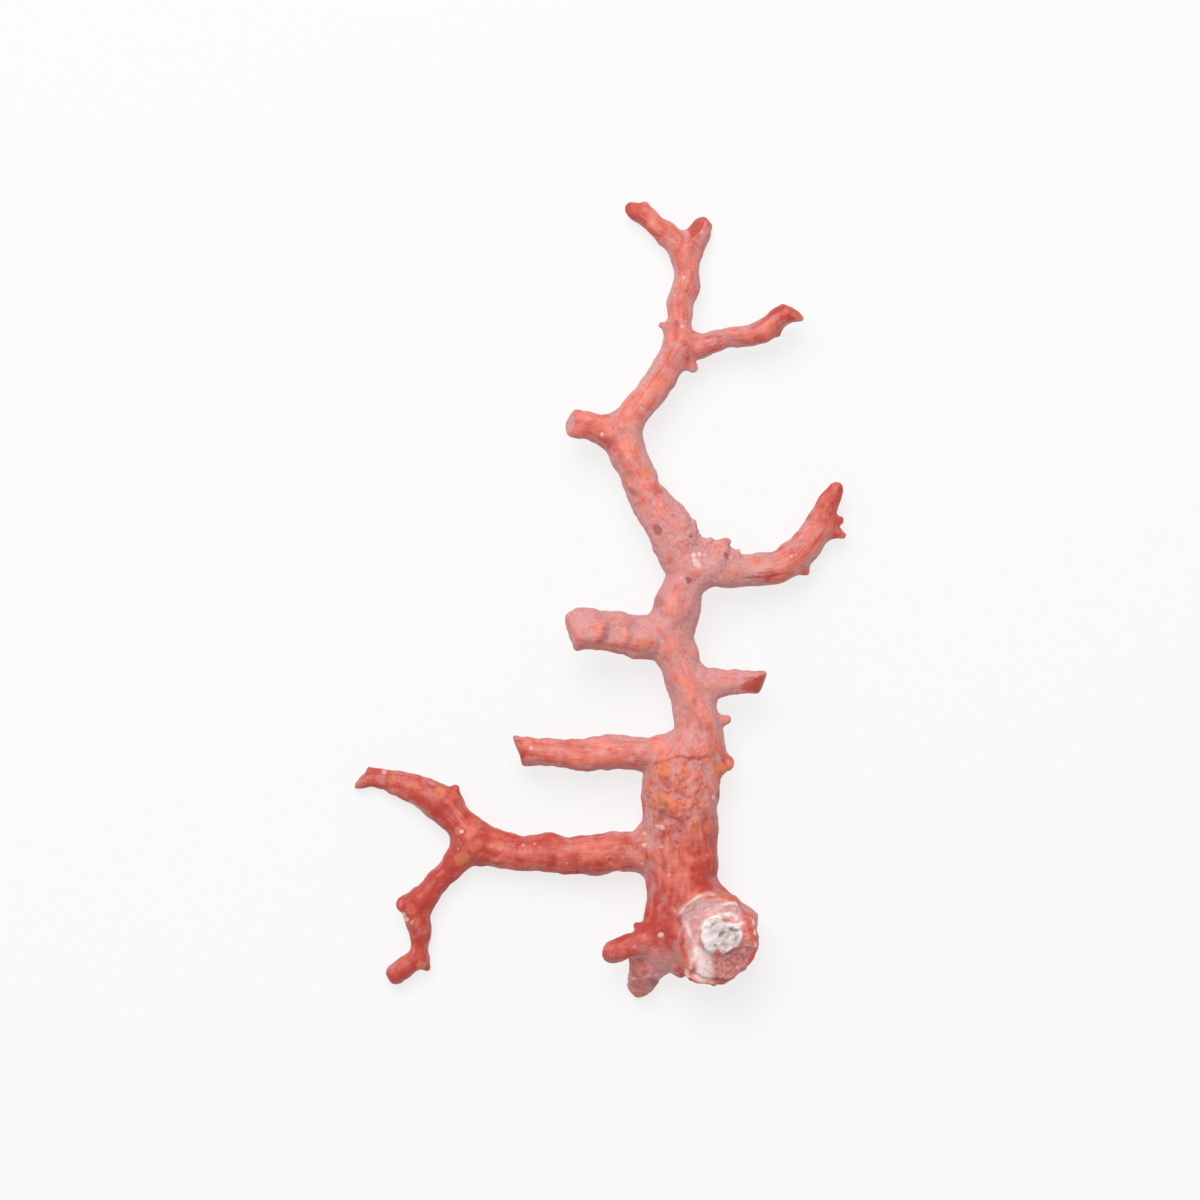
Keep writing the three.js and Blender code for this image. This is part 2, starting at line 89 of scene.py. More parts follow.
class Trait(Enum):
    """What a mark changes, each one a channel painted over the skin."""

    FILM = "film"
    RED = "red"
    ORANGE = "orange"
    CREAM = "cream"
    # Dark specks, and painted shade in pits, cracks and gaps; these are also sunk a little.
    DARK = "dark"
    CHALK = "chalk"
    BRICK = "brick"
    LUMP = "lump"
    CRUST = "crust"
    STREAK = "streak"
    BROKEN = "broken"
    # How far the skin turns to the side: it carries painted shade and painted sheen.
    SIDE = "side"


SOFT = {Trait.FILM, Trait.RED, Trait.CRUST, Trait.LUMP, Trait.STREAK}
ALL_ROUND = {Trait.FILM, Trait.RED, Trait.CRUST, Trait.STREAK}


@dataclass(frozen=True)
class Placement:
    """Where the middle of the stations lies in the frame, and the surface that the branch rests on."""

    shift: Point = (0.080, -0.088, -0.200)
    floor: float = 0.0
    cell: float = 0.2

    def to_frame(self, point: Point) -> np.ndarray:
        """The place of a station's point in the frame, in millimetres."""
        return np.array(point) + np.array(self.shift)


PLACE = Placement()


@dataclass(frozen=True)
class Break:
    """A snapped face: a plane through a point, facing out of the limb, and how it has weathered since."""

    at: Point
    facing: Point
    trait: Trait = Trait.BROKEN
    strength: float = 1.0
    edge: float = 0.35


@dataclass(frozen=True)
class Limb:
    """A round tapering rod along stations of x, y, height and radius."""

    stations: tuple[Station, ...]
    fillet: float
    breaks: tuple[Break, ...] = ()


@dataclass(frozen=True)
class Knob:
    """A bud or wart: a short cone from its root, as far and as pointed as its lean and taper say."""

    at: Point
    radius: float
    lean: Point = (0.0, 0.0, 0.0)
    taper: float = 0.7


@dataclass(frozen=True)
class Slab:
    """A block with an angular outline, seen from above, and a flat tilted top."""

    outline: Outline
    top: Point
    facing: Point
    low: float
    fillet: float = 0.35
    edge: float = 0.25


@dataclass(frozen=True)
class Mark:
    """A soft-edged patch: where, how far, how strong, how much longer than wide, and how turned."""

    x: float
    y: float
    reach: float
    strength: float = 1.0
    long: float = 1.0
    turn: float = 0.0


@dataclass(frozen=True)
class Marks:
    """Marks that change one trait, each a row of the numbers of a Mark."""

    trait: Trait
    rows: tuple[tuple[float, ...], ...]


@dataclass(frozen=True)
class Patch:
    """A patch of the upper side inside an outline: how strong it is, how soft its edge, and its layers."""

    trait: Trait
    outline: Outline
    strength: float = 1.0
    edge: float = 0.2
    lift: float = 0.0
    layer: float = 0.0


@dataclass(frozen=True)
class Scatter:
    """Small round marks strewn over all sides, or inside an outline: how many, and between which widths."""

    traits: tuple[tuple[Trait, float], ...]
    count: int
    reach: tuple[float, float]
    within: Outline = ()


@dataclass(frozen=True)
class Ledge:
    """A line on the upper side where the skin steps up on its left hand, with a lip along the edge."""

    route: Outline
    rise: float
    run: float
    lip: float = 0.0
    lip_rise: float = 0.0
    lip_trait: Trait = Trait.CREAM


@dataclass(frozen=True)
class SawCut:
    """Where the skin is parted at a fork: a plane through a point, as far as the reach."""

    at: Point
    along: Point
    reach: float


@dataclass(frozen=True)
class Piece:
    """One piece of the parted skin, the solid that it replaces, and a point on its axis."""

    node: str
    slot: Slot
    heart: Point


def smooth(low: float, high: float, value: np.ndarray) -> np.ndarray:
    """Smooth step of value from low to high; high may lie below low."""
    share = np.clip((value - low) / (high - low), 0.0, 1.0)
    return share * share * (3 - 2 * share)


def ridge(value: np.ndarray, middle: float, width: float) -> np.ndarray:
    """1 where the value is at the middle, fading to both sides over the width."""
    return np.exp(-(((value - middle) / width) ** 2))


def blend(one: np.ndarray, other: np.ndarray, width: float) -> np.ndarray:
    """The lesser of two distances, rounded where they meet.

    Args:
        one: Distances to the first shape.
        other: Distances to the second shape.
        width: How wide the rounding is.

    Returns:
        The joined distances.
    """
    share = np.clip(0.5 + 0.5 * (other - one) / width, 0.0, 1.0)
    return other + (one - other) * share - width * share * (1 - share)


def through(points: np.ndarray, steps: int) -> np.ndarray:
    """A smooth line through rows of numbers.

    Args:
        points: One row for each station.
        steps: How many straight steps lie between two stations.

    Returns:
        The rows along the line.
    """
    padded = np.vstack([2 * points[0] - points[1], points, 2 * points[-1] - points[-2]])
    share = (np.arange(steps) / steps)[:, None]
    rows = []
    for before, start, end, after in zip(padded, padded[1:], padded[2:], padded[3:]):
        slope_in = (end - before) / 2
        slope_out = (after - start) / 2
        rows.append(
            start
            + slope_in * share
            + (3 * (end - start) - 2 * slope_in - slope_out) * share**2
            + (2 * (start - end) + slope_in + slope_out) * share**3
        )
    return np.vstack([*rows, points[-1:]])


def depth_inside(flat: np.ndarray, outline: Outline) -> np.ndarray:
    """How far places lie inside a closed outline.

    Args:
        flat: Places, seen from above.
        outline: The outline's corners.

    Returns:
        One depth for each place, below zero outside.
    """
    start = np.array(outline)
    span = np.roll(start, -1, axis=0) - start
    gap = flat[:, None] - start
    share = np.clip(np.einsum("ijk,jk->ij", gap, span) / (span**2).sum(axis=1), 0.0, 1.0)
    away = np.linalg.norm(gap - share[..., None] * span, axis=2).min(axis=1)
    level = (gap[..., 1] < 0) != (gap[..., 1] < span[:, 1])
    turn = (gap[..., 0] * span[:, 1] - gap[..., 1] * span[:, 0]) * np.sign(span[:, 1])
    inside = (level & (turn < 0)).sum(axis=1) % 2 == 1
    return np.where(inside, away, -away)


class Noise:
    """Seeded gradient noise on a repeating lattice."""

    def __init__(self, seed: int = 7, lattice: int = 32) -> None:
        """Draws the lattice's directions.

        Args:
            seed: Where the random draws start.
            lattice: Cells along each side before the noise repeats.
        """
        turns = np.random.default_rng(seed).normal(size=(lattice, lattice, lattice, 3))
        self.lattice = lattice
        self.turns = (turns / np.linalg.norm(turns, axis=-1, keepdims=True)).reshape(-1, 3)

    def at(self, points: np.ndarray, wave: float, shift: float = 0.0) -> np.ndarray:
        """Noise of about one lump for each wave, from -1 to 1.

        Args:
            points: Places, one row each.
            wave: The width of a lattice cell, in the units of the places.
            shift: Moves the lattice, so that two calls don't look alike.

        Returns:
            One value for each place.
        """
        scaled = points / wave + shift
        base = np.floor(scaled).astype(np.int64)
        inner = scaled - base
        ease = inner**3 * (inner * (inner * 6 - 15) + 10)
        total = np.zeros(len(points))
        for corner in np.ndindex(2, 2, 2):
            place = (base + corner) % self.lattice
            index = (place[:, 0] * self.lattice + place[:, 1]) * self.lattice + place[:, 2]
            lean = np.einsum("ij,ij->i", self.turns[index], inner - corner)
            share = np.prod(np.where(np.array(corner) == 1, ease, 1 - ease), axis=1)
            total += lean * share
        return total * 1.6

    def layers(self, points: np.ndarray, wave: float, count: int, shift: float = 0.0) -> np.ndarray:
        """Noise of several waves, each half as wide and half as strong as the last.

        Args:
            points: Places, one row each.
            wave: The widest wave.
            count: How many waves are added.
            shift: Moves the lattice.

        Returns:
            One value for each place.
        """
        total = np.zeros(len(points))
        for step in range(count):
            total += self.at(points, wave / 2**step, shift + 5.3 * step) / 2**step
        return total


class Rods:
    """The straight tapering steps of one limb."""

    STEPS = 4

    def __init__(self, limb: Limb) -> None:
        """Works out the steps, and the direction across each one.

        Args:
            limb: The limb to follow.
        """
        line = through(np.array(limb.stations), self.STEPS)
        line[:, :3] += PLACE.shift
        self.start, self.end = line[:-1, :3], line[1:, :3]
        self.radius, self.growth = line[:-1, 3], line[1:, 3] - line[:-1, 3]
        self.span = self.end - self.start
        self.length = np.linalg.norm(self.span, axis=1)
        self.walked = np.concatenate([[0.0], np.cumsum(self.length)])
        self.fillet = limb.fillet
        self.breaks = [
            (PLACE.to_frame(b.at), np.array(b.facing) / np.linalg.norm(b.facing), b) for b in limb.breaks
        ]
        self.across = self._transport()

    def _transport(self) -> np.ndarray:
        """Carries a direction across the limb along it, turned as little as it can be.

        Returns:
            The direction at each end of the steps.
        """
        ways = self.span / self.length[:, None]
        across = np.cross(ways[0], (0.0, 0.0, 1.0))
        rows = [across / np.linalg.norm(across)]
        for way in ways:
            turned = rows[-1] - way * (rows[-1] @ way)
            rows.append(turned / np.linalg.norm(turned))
        return np.array(rows)

    def near(self, middle: np.ndarray, reach: float, margin: float) -> np.ndarray | None:
        """The steps that can matter inside a ball.

        Args:
            middle: The ball's middle.
            reach: The ball's radius.
            margin: How far a limb still counts.

        Returns:
            Their numbers, or None where the limb is out of reach.
        """
        away = self.axis_distance(middle[None], np.arange(len(self.start)))[0][0]
        wide = np.maximum(self.radius, self.radius + self.growth)
        lowest = away - wide - reach
        if lowest.min() > margin:
            return None
        thin = np.minimum(self.radius, self.radius + self.growth)
        return np.nonzero(lowest <= (away - thin + reach).min())[0]

    def axis_distance(self, points: np.ndarray, rods: np.ndarray) -> tuple[np.ndarray, np.ndarray]:
        """How far points lie from the axes of steps.

        Args:
            points: Places in the frame.
            rods: The steps.

        Returns:
            The distance from each point to each axis, and how far along the step that is, from 0 to 1.
        """
        gap = points[:, None] - self.start[rods]
        share = np.einsum("ijk,jk->ij", gap, self.span[rods]) / self.length[rods] ** 2
        share = np.clip(share, 0.0, 1.0)
        gap -= share[..., None] * self.span[rods]
        return np.sqrt(np.einsum("ijk,ijk->ij", gap, gap)), share

    def distance(self, points: np.ndarray, rods: np.ndarray) -> np.ndarray:
        """How far points lie outside the limb, its snapped faces counted.

        Args:
            points: Places in the frame.
            rods: The steps to look at.

        Returns:
            One distance for each point, below zero inside.
        """
        away, share = self.axis_distance(points, rods)
        nearest = (away - self.radius[rods] - self.growth[rods] * share).min(axis=1)
        for at, facing, snap in self.breaks:
            nearest = -blend(-nearest, -((points - at) @ facing), snap.edge)
        return nearest

    def fibre(self, points: np.ndarray) -> tuple[np.ndarray, np.ndarray]:
        """How the grain runs past points near the limb.

        Args:
            points: Places in the frame.

        Returns:
            Distances outside the limb, and rows of two places across the limb and one along it.
        """
        rods = np.arange(len(self.start))
        away, share = self.axis_distance(points, rods)
        outside = away - self.radius - self.growth * share
        rod = outside.argmin(axis=1)
        row = np.arange(len(points))
        step = share[row, rod]
        gap = points - self.start[rod] - step[:, None] * self.span[rod]
        over = self.across[rod] * (1 - step)[:, None] + self.across[rod + 1] * step[:, None]
        way = self.span[rod] / self.length[rod][:, None]
        side = np.cross(way, over)
        along = self.walked[rod] + step * self.length[rod]
        frame_rows = [np.einsum("ij,ij->i", gap, over), np.einsum("ij,ij->i", gap, side), along]
        return outside[row, rod], np.stack(frame_rows, axis=1)


class CoralField:
    """The distance to the whole branch before its fine relief."""

    KNOB_FILLET = 0.9
    MARGIN = 0.9
    SWELLINGS = ((9.5, 0.16), (4.3, 0.11))

    def __init__(self, limbs: list[Limb], knobs: list[Knob], slabs: list[Slab]) -> None:
        """Prepares the limbs, knobs and slabs.

        Args:
            limbs: All limbs, in the order in which they are joined.
            knobs: All knobs.
            slabs: All slabs.
        """
        self.rods = [Rods(limb) for limb in limbs]
        self.knobs = [(PLACE.to_frame(knob.at), knob) for knob in knobs]
        self.slabs = slabs

    def distance(self, points: np.ndarray) -> np.ndarray:
        """How far points lie outside the branch.

        Args:
            points: Places in the frame, all near each other.

        Returns:
            One distance for each point, below zero inside.
        """
        low, high = points.min(axis=0), points.max(axis=0)
        middle, reach = (low + high) / 2, np.linalg.norm(high - low) / 2
        total = np.full(len(points), FAR)
        for rods in self.rods:
            near = rods.near(middle, reach, rods.fillet + self.MARGIN)
            if near is not None:
                total = blend(total, rods.distance(points, near), rods.fillet)
        for at, knob in self.knobs:
            long = math.hypot(*knob.lean)
            if math.dist(at, middle) - knob.radius - long - reach < self.KNOB_FILLET + self.MARGIN:
                gap = points - at
                share = np.clip(gap @ knob.lean / max(long**2, TINY), 0.0, 1.0)
                away = np.linalg.norm(gap - share[:, None] * knob.lean, axis=1)
                total = blend(total, away - knob.radius * (1 - knob.taper * share), self.KNOB_FILLET)
        for slab in self.slabs:
            centre = PLACE.to_frame((*np.mean(slab.outline, axis=0), 0.0))
            wide = max(math.dist(corner, np.mean(slab.outline, axis=0)) for corner in slab.outline)
            if math.dist(centre[:2], middle[:2]) < wide + reach + self.MARGIN:
                total = blend(total, self._slab(slab, points), slab.fillet)
        return np.maximum(total - self.swelling(points), PLACE.floor - points[:, 2])

    def _slab(self, slab: Slab, points: np.ndarray) -> np.ndarray:
        """How far points lie outside a slab.

        Args:
            slab: The slab.
            points: Places in the frame.

        Returns:
            One distance for each point.
        """
        level = points - PLACE.shift
        facing = np.array(slab.facing) / np.linalg.norm(slab.facing)
        inner = blend(depth_inside(level[:, :2], slab.outline), (slab.top - level) @ facing, slab.edge)
        return -np.minimum(inner, level[:, 2] - slab.low)

    def swelling(self, points: np.ndarray) -> np.ndarray:
        """The low swellings and hollows of the limbs.

        Args:
            points: Places in the frame.

        Returns:
            How far the skin stands out at each.
        """
        x, y, z = (points - PLACE.shift).T
        total = np.zeros(len(points))
        for wave, rise in self.SWELLINGS:
            k = 2 * math.pi / wave
            total += rise * (
                np.sin(k * x + 0.9 * np.sin(0.6 * k * z)) * np.cos(0.83 * k * y + 1.1 * np.sin(0.7 * k * x))
                + 0.6 * np.sin(1.27 * k * z + 0.4 * k * x) * np.cos(0.6 * k * y)
            )
        return total


@dataclass
class Skin:
    """The branch's surface: its points in millimetres, its faces of four corners and what varies over it."""

    points: np.ndarray
    quads: np.ndarray
    facing: np.ndarray
    traits: dict[str, np.ndarray] = field(default_factory=dict)
    fibre: np.ndarray | None = None


class Skinner:
    """Lays a skin of small four-sided faces on the zero level of the branch's field."""

    BLOCK = 16
    BAND = 1.2
    ROOM = 4
    OFF_FLOOR = 0.37
    PULLS = 3
    LONGEST_PULL = 0.5
    LEAST_SLOPE = 0.25

    def __init__(self, coral: CoralField, cell: float) -> None:
        """Sets the grid round the frame's box.

        Args:
            coral: The field to follow.
            cell: The grid's step.
        """
        self.coral = coral
        self.cell = cell
        room = self.ROOM * cell
        low = np.array(CAD_BOX[0]) / MM - room
        high = np.array(CAD_BOX[1]) / MM + room
        low[2] = PLACE.floor - room + self.OFF_FLOOR * cell
        blocks = np.ceil((high - low) / cell / self.BLOCK).astype(int)
        self.low = low
        self.blocks = blocks
        self.values = np.ones(tuple(blocks * self.BLOCK + 1), np.float32)

    def sample(self) -> None:
        """Fills the grid: exact values near the skin, and only the sign elsewhere."""
        step = self.BLOCK * self.cell
        half = step * math.sqrt(3) / 2
        ticks = np.arange(self.BLOCK + 1) * self.cell
        local = np.stack(np.meshgrid(ticks, ticks, ticks, indexing="ij"), axis=-1).reshape(-1, 3)
        shape = (self.BLOCK + 1,) * 3
        for block in np.ndindex(*self.blocks):
            corner = self.low + np.array(block) * step
            middle = self.coral.distance((corner + step / 2)[None])[0]
            first = np.array(block) * self.BLOCK
            part = tuple(slice(a, a + self.BLOCK + 1) for a in first)
            if abs(middle) < half + self.BAND:
                self.values[part] = self.coral.distance(corner + local).reshape(shape)
            elif middle < 0:
                self.values[part] = np.minimum(self.values[part], -1.0)

    def _crossings(self, axis: int) -> tuple[np.ndarray, np.ndarray]:
        """Where the grid's edges along one axis cross the skin.

        Args:
            axis: 0, 1 or 2.

        Returns:
            The crossing points in grid steps, and rows of the four cells round each edge, in turn
            round the way out of the coral.
        """
        inside = self.values < 0
        count = self.values.shape[axis]
        one = np.take(inside, range(count - 1), axis)
        two = np.take(inside, range(1, count), axis)
        places = np.argwhere(one != two)
        step = np.eye(3, dtype=int)[axis]
        start = self.values[tuple(places.T)]
        end = self.values[tuple((places + step).T)]
        cross = places + step * (start / (start - end))[:, None]
        side, up = np.eye(3, dtype=int)[(axis + 1) % 3], np.eye(3, dtype=int)[(axis + 2) % 3]
        ring = np.stack([places - side - up, places - up, places, places - side], axis=1)
        inward = ~one[tuple(places.T)]
        ring[inward] = ring[inward][:, ::-1]
        return cross, ring

    def lay(self) -> Skin:
        """Joins the crossings into faces and pulls their corners onto the skin.

        Returns:
            The skin, with the way that it faces at each point.
        """
        parts = [self._crossings(axis) for axis in range(3)]
        cross = np.vstack([part[0] for part in parts])
        ring = np.vstack([part[1] for part in parts])
        shape = self.values.shape
        keys = np.ravel_multi_index(tuple(np.moveaxis(ring, -1, 0)), shape)
        _, quads = np.unique(keys.ravel(), return_inverse=True)
        spread = np.repeat(cross, 4, axis=0)
        share = np.bincount(quads)
        grid = np.stack([np.bincount(quads, spread[:, i]) / share for i in range(3)], axis=1)
        for _ in range(self.PULLS):
            value, slope = self._look(grid)
            steep = np.maximum(np.einsum("ij,ij->i", slope, slope), self.LEAST_SLOPE)
            move = -(value / steep)[:, None] * slope
            long = np.linalg.norm(move, axis=1, keepdims=True)
            grid += move * np.minimum(1.0, self.LONGEST_PULL / np.maximum(long, TINY))
        slope = self._look(grid)[1]
        facing = slope / np.linalg.norm(slope, axis=1, keepdims=True)
        return Skin(grid * self.cell + self.low, quads.reshape(-1, 4), facing)

    def _look(self, grid: np.ndarray) -> tuple[np.ndarray, np.ndarray]:
        """The field and its slope between the grid's points, both in grid steps.

        Args:
            grid: Places in grid steps.

        Returns:
            The value and the slope at each place.
        """
        base = np.floor(grid).astype(int)
        inner = grid - base
        value = np.zeros(len(grid))
        slope = np.zeros_like(grid)
        for corner in np.ndindex(2, 2, 2):
            height = self.values[tuple((base + corner).T)] / self.cell
            shares = np.where(np.array(corner) == 1, inner, 1 - inner)
            value += height * shares.prod(axis=1)
            signs = np.where(np.array(corner) == 1, 1.0, -1.0)
            for axis in range(3):
                others = [i for i in range(3) if i != axis]
                slope[:, axis] += signs[axis] * height * shares[:, others].prod(axis=1)
        return value, slope


@dataclass(frozen=True)
class Relief:
    """How wide and how high the forms of the skin are, in millimetres."""

    lump_wave: float = 2.6
    lump_rise: float = 0.15
    crust_waves: tuple[float, float] = (1.7, 0.85)
    crust_rise: float = 0.42
    crust_level: float = 0.4
    groove_waves: tuple[float, float] = (0.8, 0.45)
    groove_rise: float = 0.05
    groove_stretch: float = 0.07
    grain_wave: float = 0.5
    grain_rise: float = 0.035
    wart_rise: float = 0.35
    pit_depth: float = 0.28
    spot_rise: float = 0.04
    layer_rise: float = 0.07
    below_top: float = 1.5
    above_floor: float = 0.7


class Weather:
    """Paints the marks on a skin and raises its relief."""

    BATCH = 10000
    SEED = 11
    LIMB_ROOM = 8
    NEXT_LIMB = 11.0
    FORK = (0.3, 2.2)
    UPPER = (-0.15, 0.25)
    RAGGED_WAVE = 1.6
    MARK_ROOM = 1.6
    SOFT_EDGE = (1.35, 0.2)
    CRISP_EDGE = (1.2, 0.6)
    SPOT_RIM = (1.1, 0.25)
    LEDGE_STEP = (-0.18, 0.12)
    SNAP_DEPTH = (0.45, 0.15)
    SNAP_FACING = (0.75, 0.93)
    SNAP_REACH = (7.5, 6.0)

    def __init__(self, coral: CoralField, skin: Skin, noise: Noise) -> None:
        """Prepares the blank channels.

        Args:
            coral: The field that the skin lies on.
            skin: The skin to weather.
            noise: The noise that roughens it.
        """
        self.coral = coral
        self.skin = skin
        self.noise = noise
        self.size = Relief()
        self.upper = smooth(*self.UPPER, skin.facing[:, 2])
        self.level = skin.points - PLACE.shift
        self.ragged = np.clip(noise.layers(skin.points, self.RAGGED_WAVE, 3, 2.7), -1, 1)
        self.draws = np.random.default_rng(self.SEED)
        self.rise = np.zeros(len(skin.points))
        for trait in Trait:
            skin.traits[trait.value] = np.zeros(len(skin.points))

    def _near(self, corners: np.ndarray, room: float) -> np.ndarray:
        """The points of the upper side in the box round some corners.

        Args:
            corners: The corners, seen from above.
            room: How much wider the box is on each side.

        Returns:
            The points' numbers.
        """
        flat = self.level[:, :2]
        inside = (flat > corners.min(axis=0) - room) & (flat < corners.max(axis=0) + room)
        return np.nonzero(inside.all(axis=1) & (self.upper > 0))[0]

    def grain(self) -> None:
        """Follows each limb's own direction, and fades the streaks where two limbs meet."""
        points = self.skin.points
        best = np.full(len(points), FAR)
        second = np.full(len(points), FAR)
        fibre = np.zeros_like(points)
        for number, rods in enumerate(self.coral.rods):
            low = np.minimum(rods.start, rods.end).min(axis=0) - self.LIMB_ROOM
            high = np.maximum(rods.start, rods.end).max(axis=0) + self.LIMB_ROOM
            close = np.nonzero(((points > low) & (points < high)).all(axis=1))[0]
            for near in np.array_split(close, len(close) // self.BATCH + 1):
                if not len(near):
                    continue
                outside, rows = rods.fibre(points[near])
                rows[:, 2] += self.NEXT_LIMB * number
                closer = outside < best[near]
                second[near] = np.where(closer, best[near], np.minimum(second[near], outside))
                fibre[near[closer]] = rows[closer]
                best[near[closer]] = outside[closer]
        self.skin.fibre = fibre
        self.skin.traits[Trait.STREAK.value] += smooth(*self.FORK, second - best)

    def mark(self, trait: Trait, mark: Mark) -> None:
        """Paints one mark; an orange one also gets a red rim.

        Args:
            trait: What the mark changes.
            mark: The mark.
        """
        gap = self.level[:, :2] - (mark.x, mark.y)
        upper = np.ones(len(gap)) if trait in ALL_ROUND else self.upper
        box = self.MARK_ROOM * mark.reach * max(mark.long, 1.0)
        near = np.nonzero((np.abs(gap) < box).all(axis=1) & (upper > 0))[0]
        cos, sin = math.cos(math.radians(mark.turn)), math.sin(math.radians(mark.turn))
        along = (gap[near, 0] * cos + gap[near, 1] * sin) / (mark.reach * mark.long)
        over = (gap[near, 1] * cos - gap[near, 0] * sin) / mark.reach
        away = np.hypot(along, over) + 0.22 * self.ragged[near]
        edge = smooth(*(self.SOFT_EDGE if trait in SOFT else self.CRISP_EDGE), away)
        self.skin.traits[trait.value][near] += edge * mark.strength * upper[near]
        if trait is Trait.ORANGE:
            rim = ridge(away, *self.SPOT_RIM) * upper[near]
            self.skin.traits[Trait.RED.value][near] += 0.6 * mark.strength * rim

    def patch(self, patch: Patch) -> None:
        """Paints and raises the inside of an outline.

        Args:
            patch: The outline, its trait and its lift.
        """
        near = self._near(np.array(patch.outline), 1.0)
        depth = depth_inside(self.level[near, :2], patch.outline) + 0.3 * self.ragged[near]
        cover = smooth(-patch.edge, patch.edge, depth) * self.upper[near]
        if patch.layer:
            waves = np.sin(2 * math.pi * (depth + 0.3 * self.ragged[near]) / patch.layer)
            self.rise[near] += self.size.layer_rise * waves * cover
            cover = cover * (0.5 + 0.5 * waves)
        self.skin.traits[patch.trait.value][near] += cover * patch.strength
        self.rise[near] += patch.lift * cover

    def scatter(self, scatter: Scatter) -> None:
        """Strews small round marks over all sides.

        Args:
            scatter: What is strewn, how many and how wide.
        """
        points, traits = self.skin.points, self.skin.traits
        choice = np.arange(len(points))
        if scatter.within:
            choice = np.nonzero(self.upper > 0.5)[0]
            choice = choice[depth_inside(self.level[choice, :2], scatter.within) > 0]
        picks = self.draws.choice(choice, scatter.count)
        bare = 1 - np.clip(traits["chalk"] + traits["brick"], 0, 1)
        for pick, reach in zip(picks, self.draws.uniform(*scatter.reach, scatter.count)):
            near = np.nonzero((np.abs(points - points[pick]) < 1.5 * reach).all(axis=1))[0]
            away = np.linalg.norm(points[near] - points[pick], axis=1) / reach + 0.25 * self.ragged[near]
            cover = smooth(1.2, 0.3, away) * bare[near]
            for trait, strength in scatter.traits:
                traits[trait.value][near] += strength * cover

    def ledge(self, ledge: Ledge) -> None:
        """Steps the skin along a line.

        Args:
            ledge: The line, its rise and its lip.
        """
        line = through(np.array(ledge.route), 6)
        near = self._near(line, 3 * ledge.run)
        start, span = line[:-1], line[1:] - line[:-1]
        gap = self.level[near, :2][:, None] - start
        length = np.linalg.norm(span, axis=1)
        share = np.clip(np.einsum("ijk,jk->ij", gap, span) / length**2, 0.0, 1.0)
        gap -= share[..., None] * span
        away = np.linalg.norm(gap, axis=2)
        step = away.argmin(axis=1)
        row = np.arange(len(near))
        side = np.sign(span[step, 0] * gap[row, step, 1] - span[step, 1] * gap[row, step, 0])
        reach = away[row, step] * side + 0.12 * self.ragged[near]
        before = np.concatenate([[0.0], np.cumsum(length)])[step]
        walked = (before + share[row, step] * length[step]) / length.sum()
        ends = smooth(0.0, 0.12, walked) * smooth(1.0, 0.88, walked) * self.upper[near]
        behind = np.exp(-np.maximum(reach, 0) / ledge.run)
        self.rise[near] += ledge.rise * ends * smooth(*self.LEDGE_STEP, reach) * behind
        if ledge.lip:
            lip = ridge(reach, self.LEDGE_STEP[1], ledge.lip) * ends
            self.skin.traits[ledge.lip_trait.value][near] += lip * (0.75 + 0.5 * self.ragged[near])
            self.rise[near] += ledge.lip_rise * lip

    def snaps(self) -> None:
        """Marks the snapped faces."""
        points, facing = self.skin.points, self.skin.facing
        for rods in self.coral.rods:
            for at, out, snap in rods.breaks:
                gap = points - at
                flat = smooth(*self.SNAP_DEPTH, np.abs(gap @ out)) * smooth(*self.SNAP_FACING, facing @ out)
                near = smooth(*self.SNAP_REACH, np.linalg.norm(gap, axis=1))
                self.skin.traits[snap.trait.value] += flat * near * snap.strength

    def _height(self, lumps: np.ndarray) -> np.ndarray:
        """How far the skin stands out by its lumps, crust, grooves, grain, warts, pits and spots.

        Args:
            lumps: The lumps' noise.

        Returns:
            One height for each point.
        """
        size, noise, points, traits = self.size, self.noise, self.skin.points, self.skin.traits
        wide, narrow = size.crust_waves
        billows = np.abs(noise.at(points, wide, 9.1)) + 0.55 * np.abs(noise.at(points, narrow, 4.4))
        across = self.skin.fibre * (1.0, 1.0, size.groove_stretch)
        wide, narrow = size.groove_waves
        grooves = noise.at(across, wide, 3.3) + 0.6 * noise.at(across, narrow, 8.8)
        calm = 1 - 0.8 * np.clip(traits["broken"], 0, 1)
        height = size.lump_rise * lumps * calm
        height += size.crust_rise * np.clip(traits["crust"], 0, 1) * (billows - size.crust_level)
        height += size.groove_rise * traits["streak"] * grooves * calm
        height += size.grain_rise * noise.at(points, size.grain_wave, 6.1)
        height += size.wart_rise * traits["lump"] - size.pit_depth * traits["dark"]
        return height + size.spot_rise * traits["orange"]

    def relief(self) -> None:
        """Raises the skin, and keeps it flat where it rests and below the branch's top."""
        skin, traits, size = self.skin, self.skin.traits, self.size
        traits["streak"] = np.clip(traits["streak"], 0, 1)
        lumps = self.noise.layers(skin.points, size.lump_wave, 2, 0.4)
        height = self._height(lumps)
        self.rise += height
        traits["height"] = 0.3 * lumps + 2.0 * height
        # Painted light: the side channel is 1 where the skin turns away from above. It drives a painted shade
        # on the limbs' sides in the finish. It also thickens the film there, partly as weathered film and
        # partly as a painted sheen.
        traits["side"] = smooth(0.95, 0.35, np.abs(skin.facing[:, 2]))
        traits["film"] = traits["film"] * (0.45 + 0.7 * traits["side"]) + 0.15 * traits["side"]
        top = CAD_BOX[1][2] / MM
        self.rise -= np.maximum(self.rise, 0) * smooth(size.below_top, 0.2, top - skin.points[:, 2])
        rest = smooth(0.0, size.above_floor, skin.points[:, 2] - PLACE.floor)
        skin.points += skin.facing * (self.rise * rest)[:, None]
        skin.points[:, 2] = np.maximum(skin.points[:, 2], PLACE.floor)


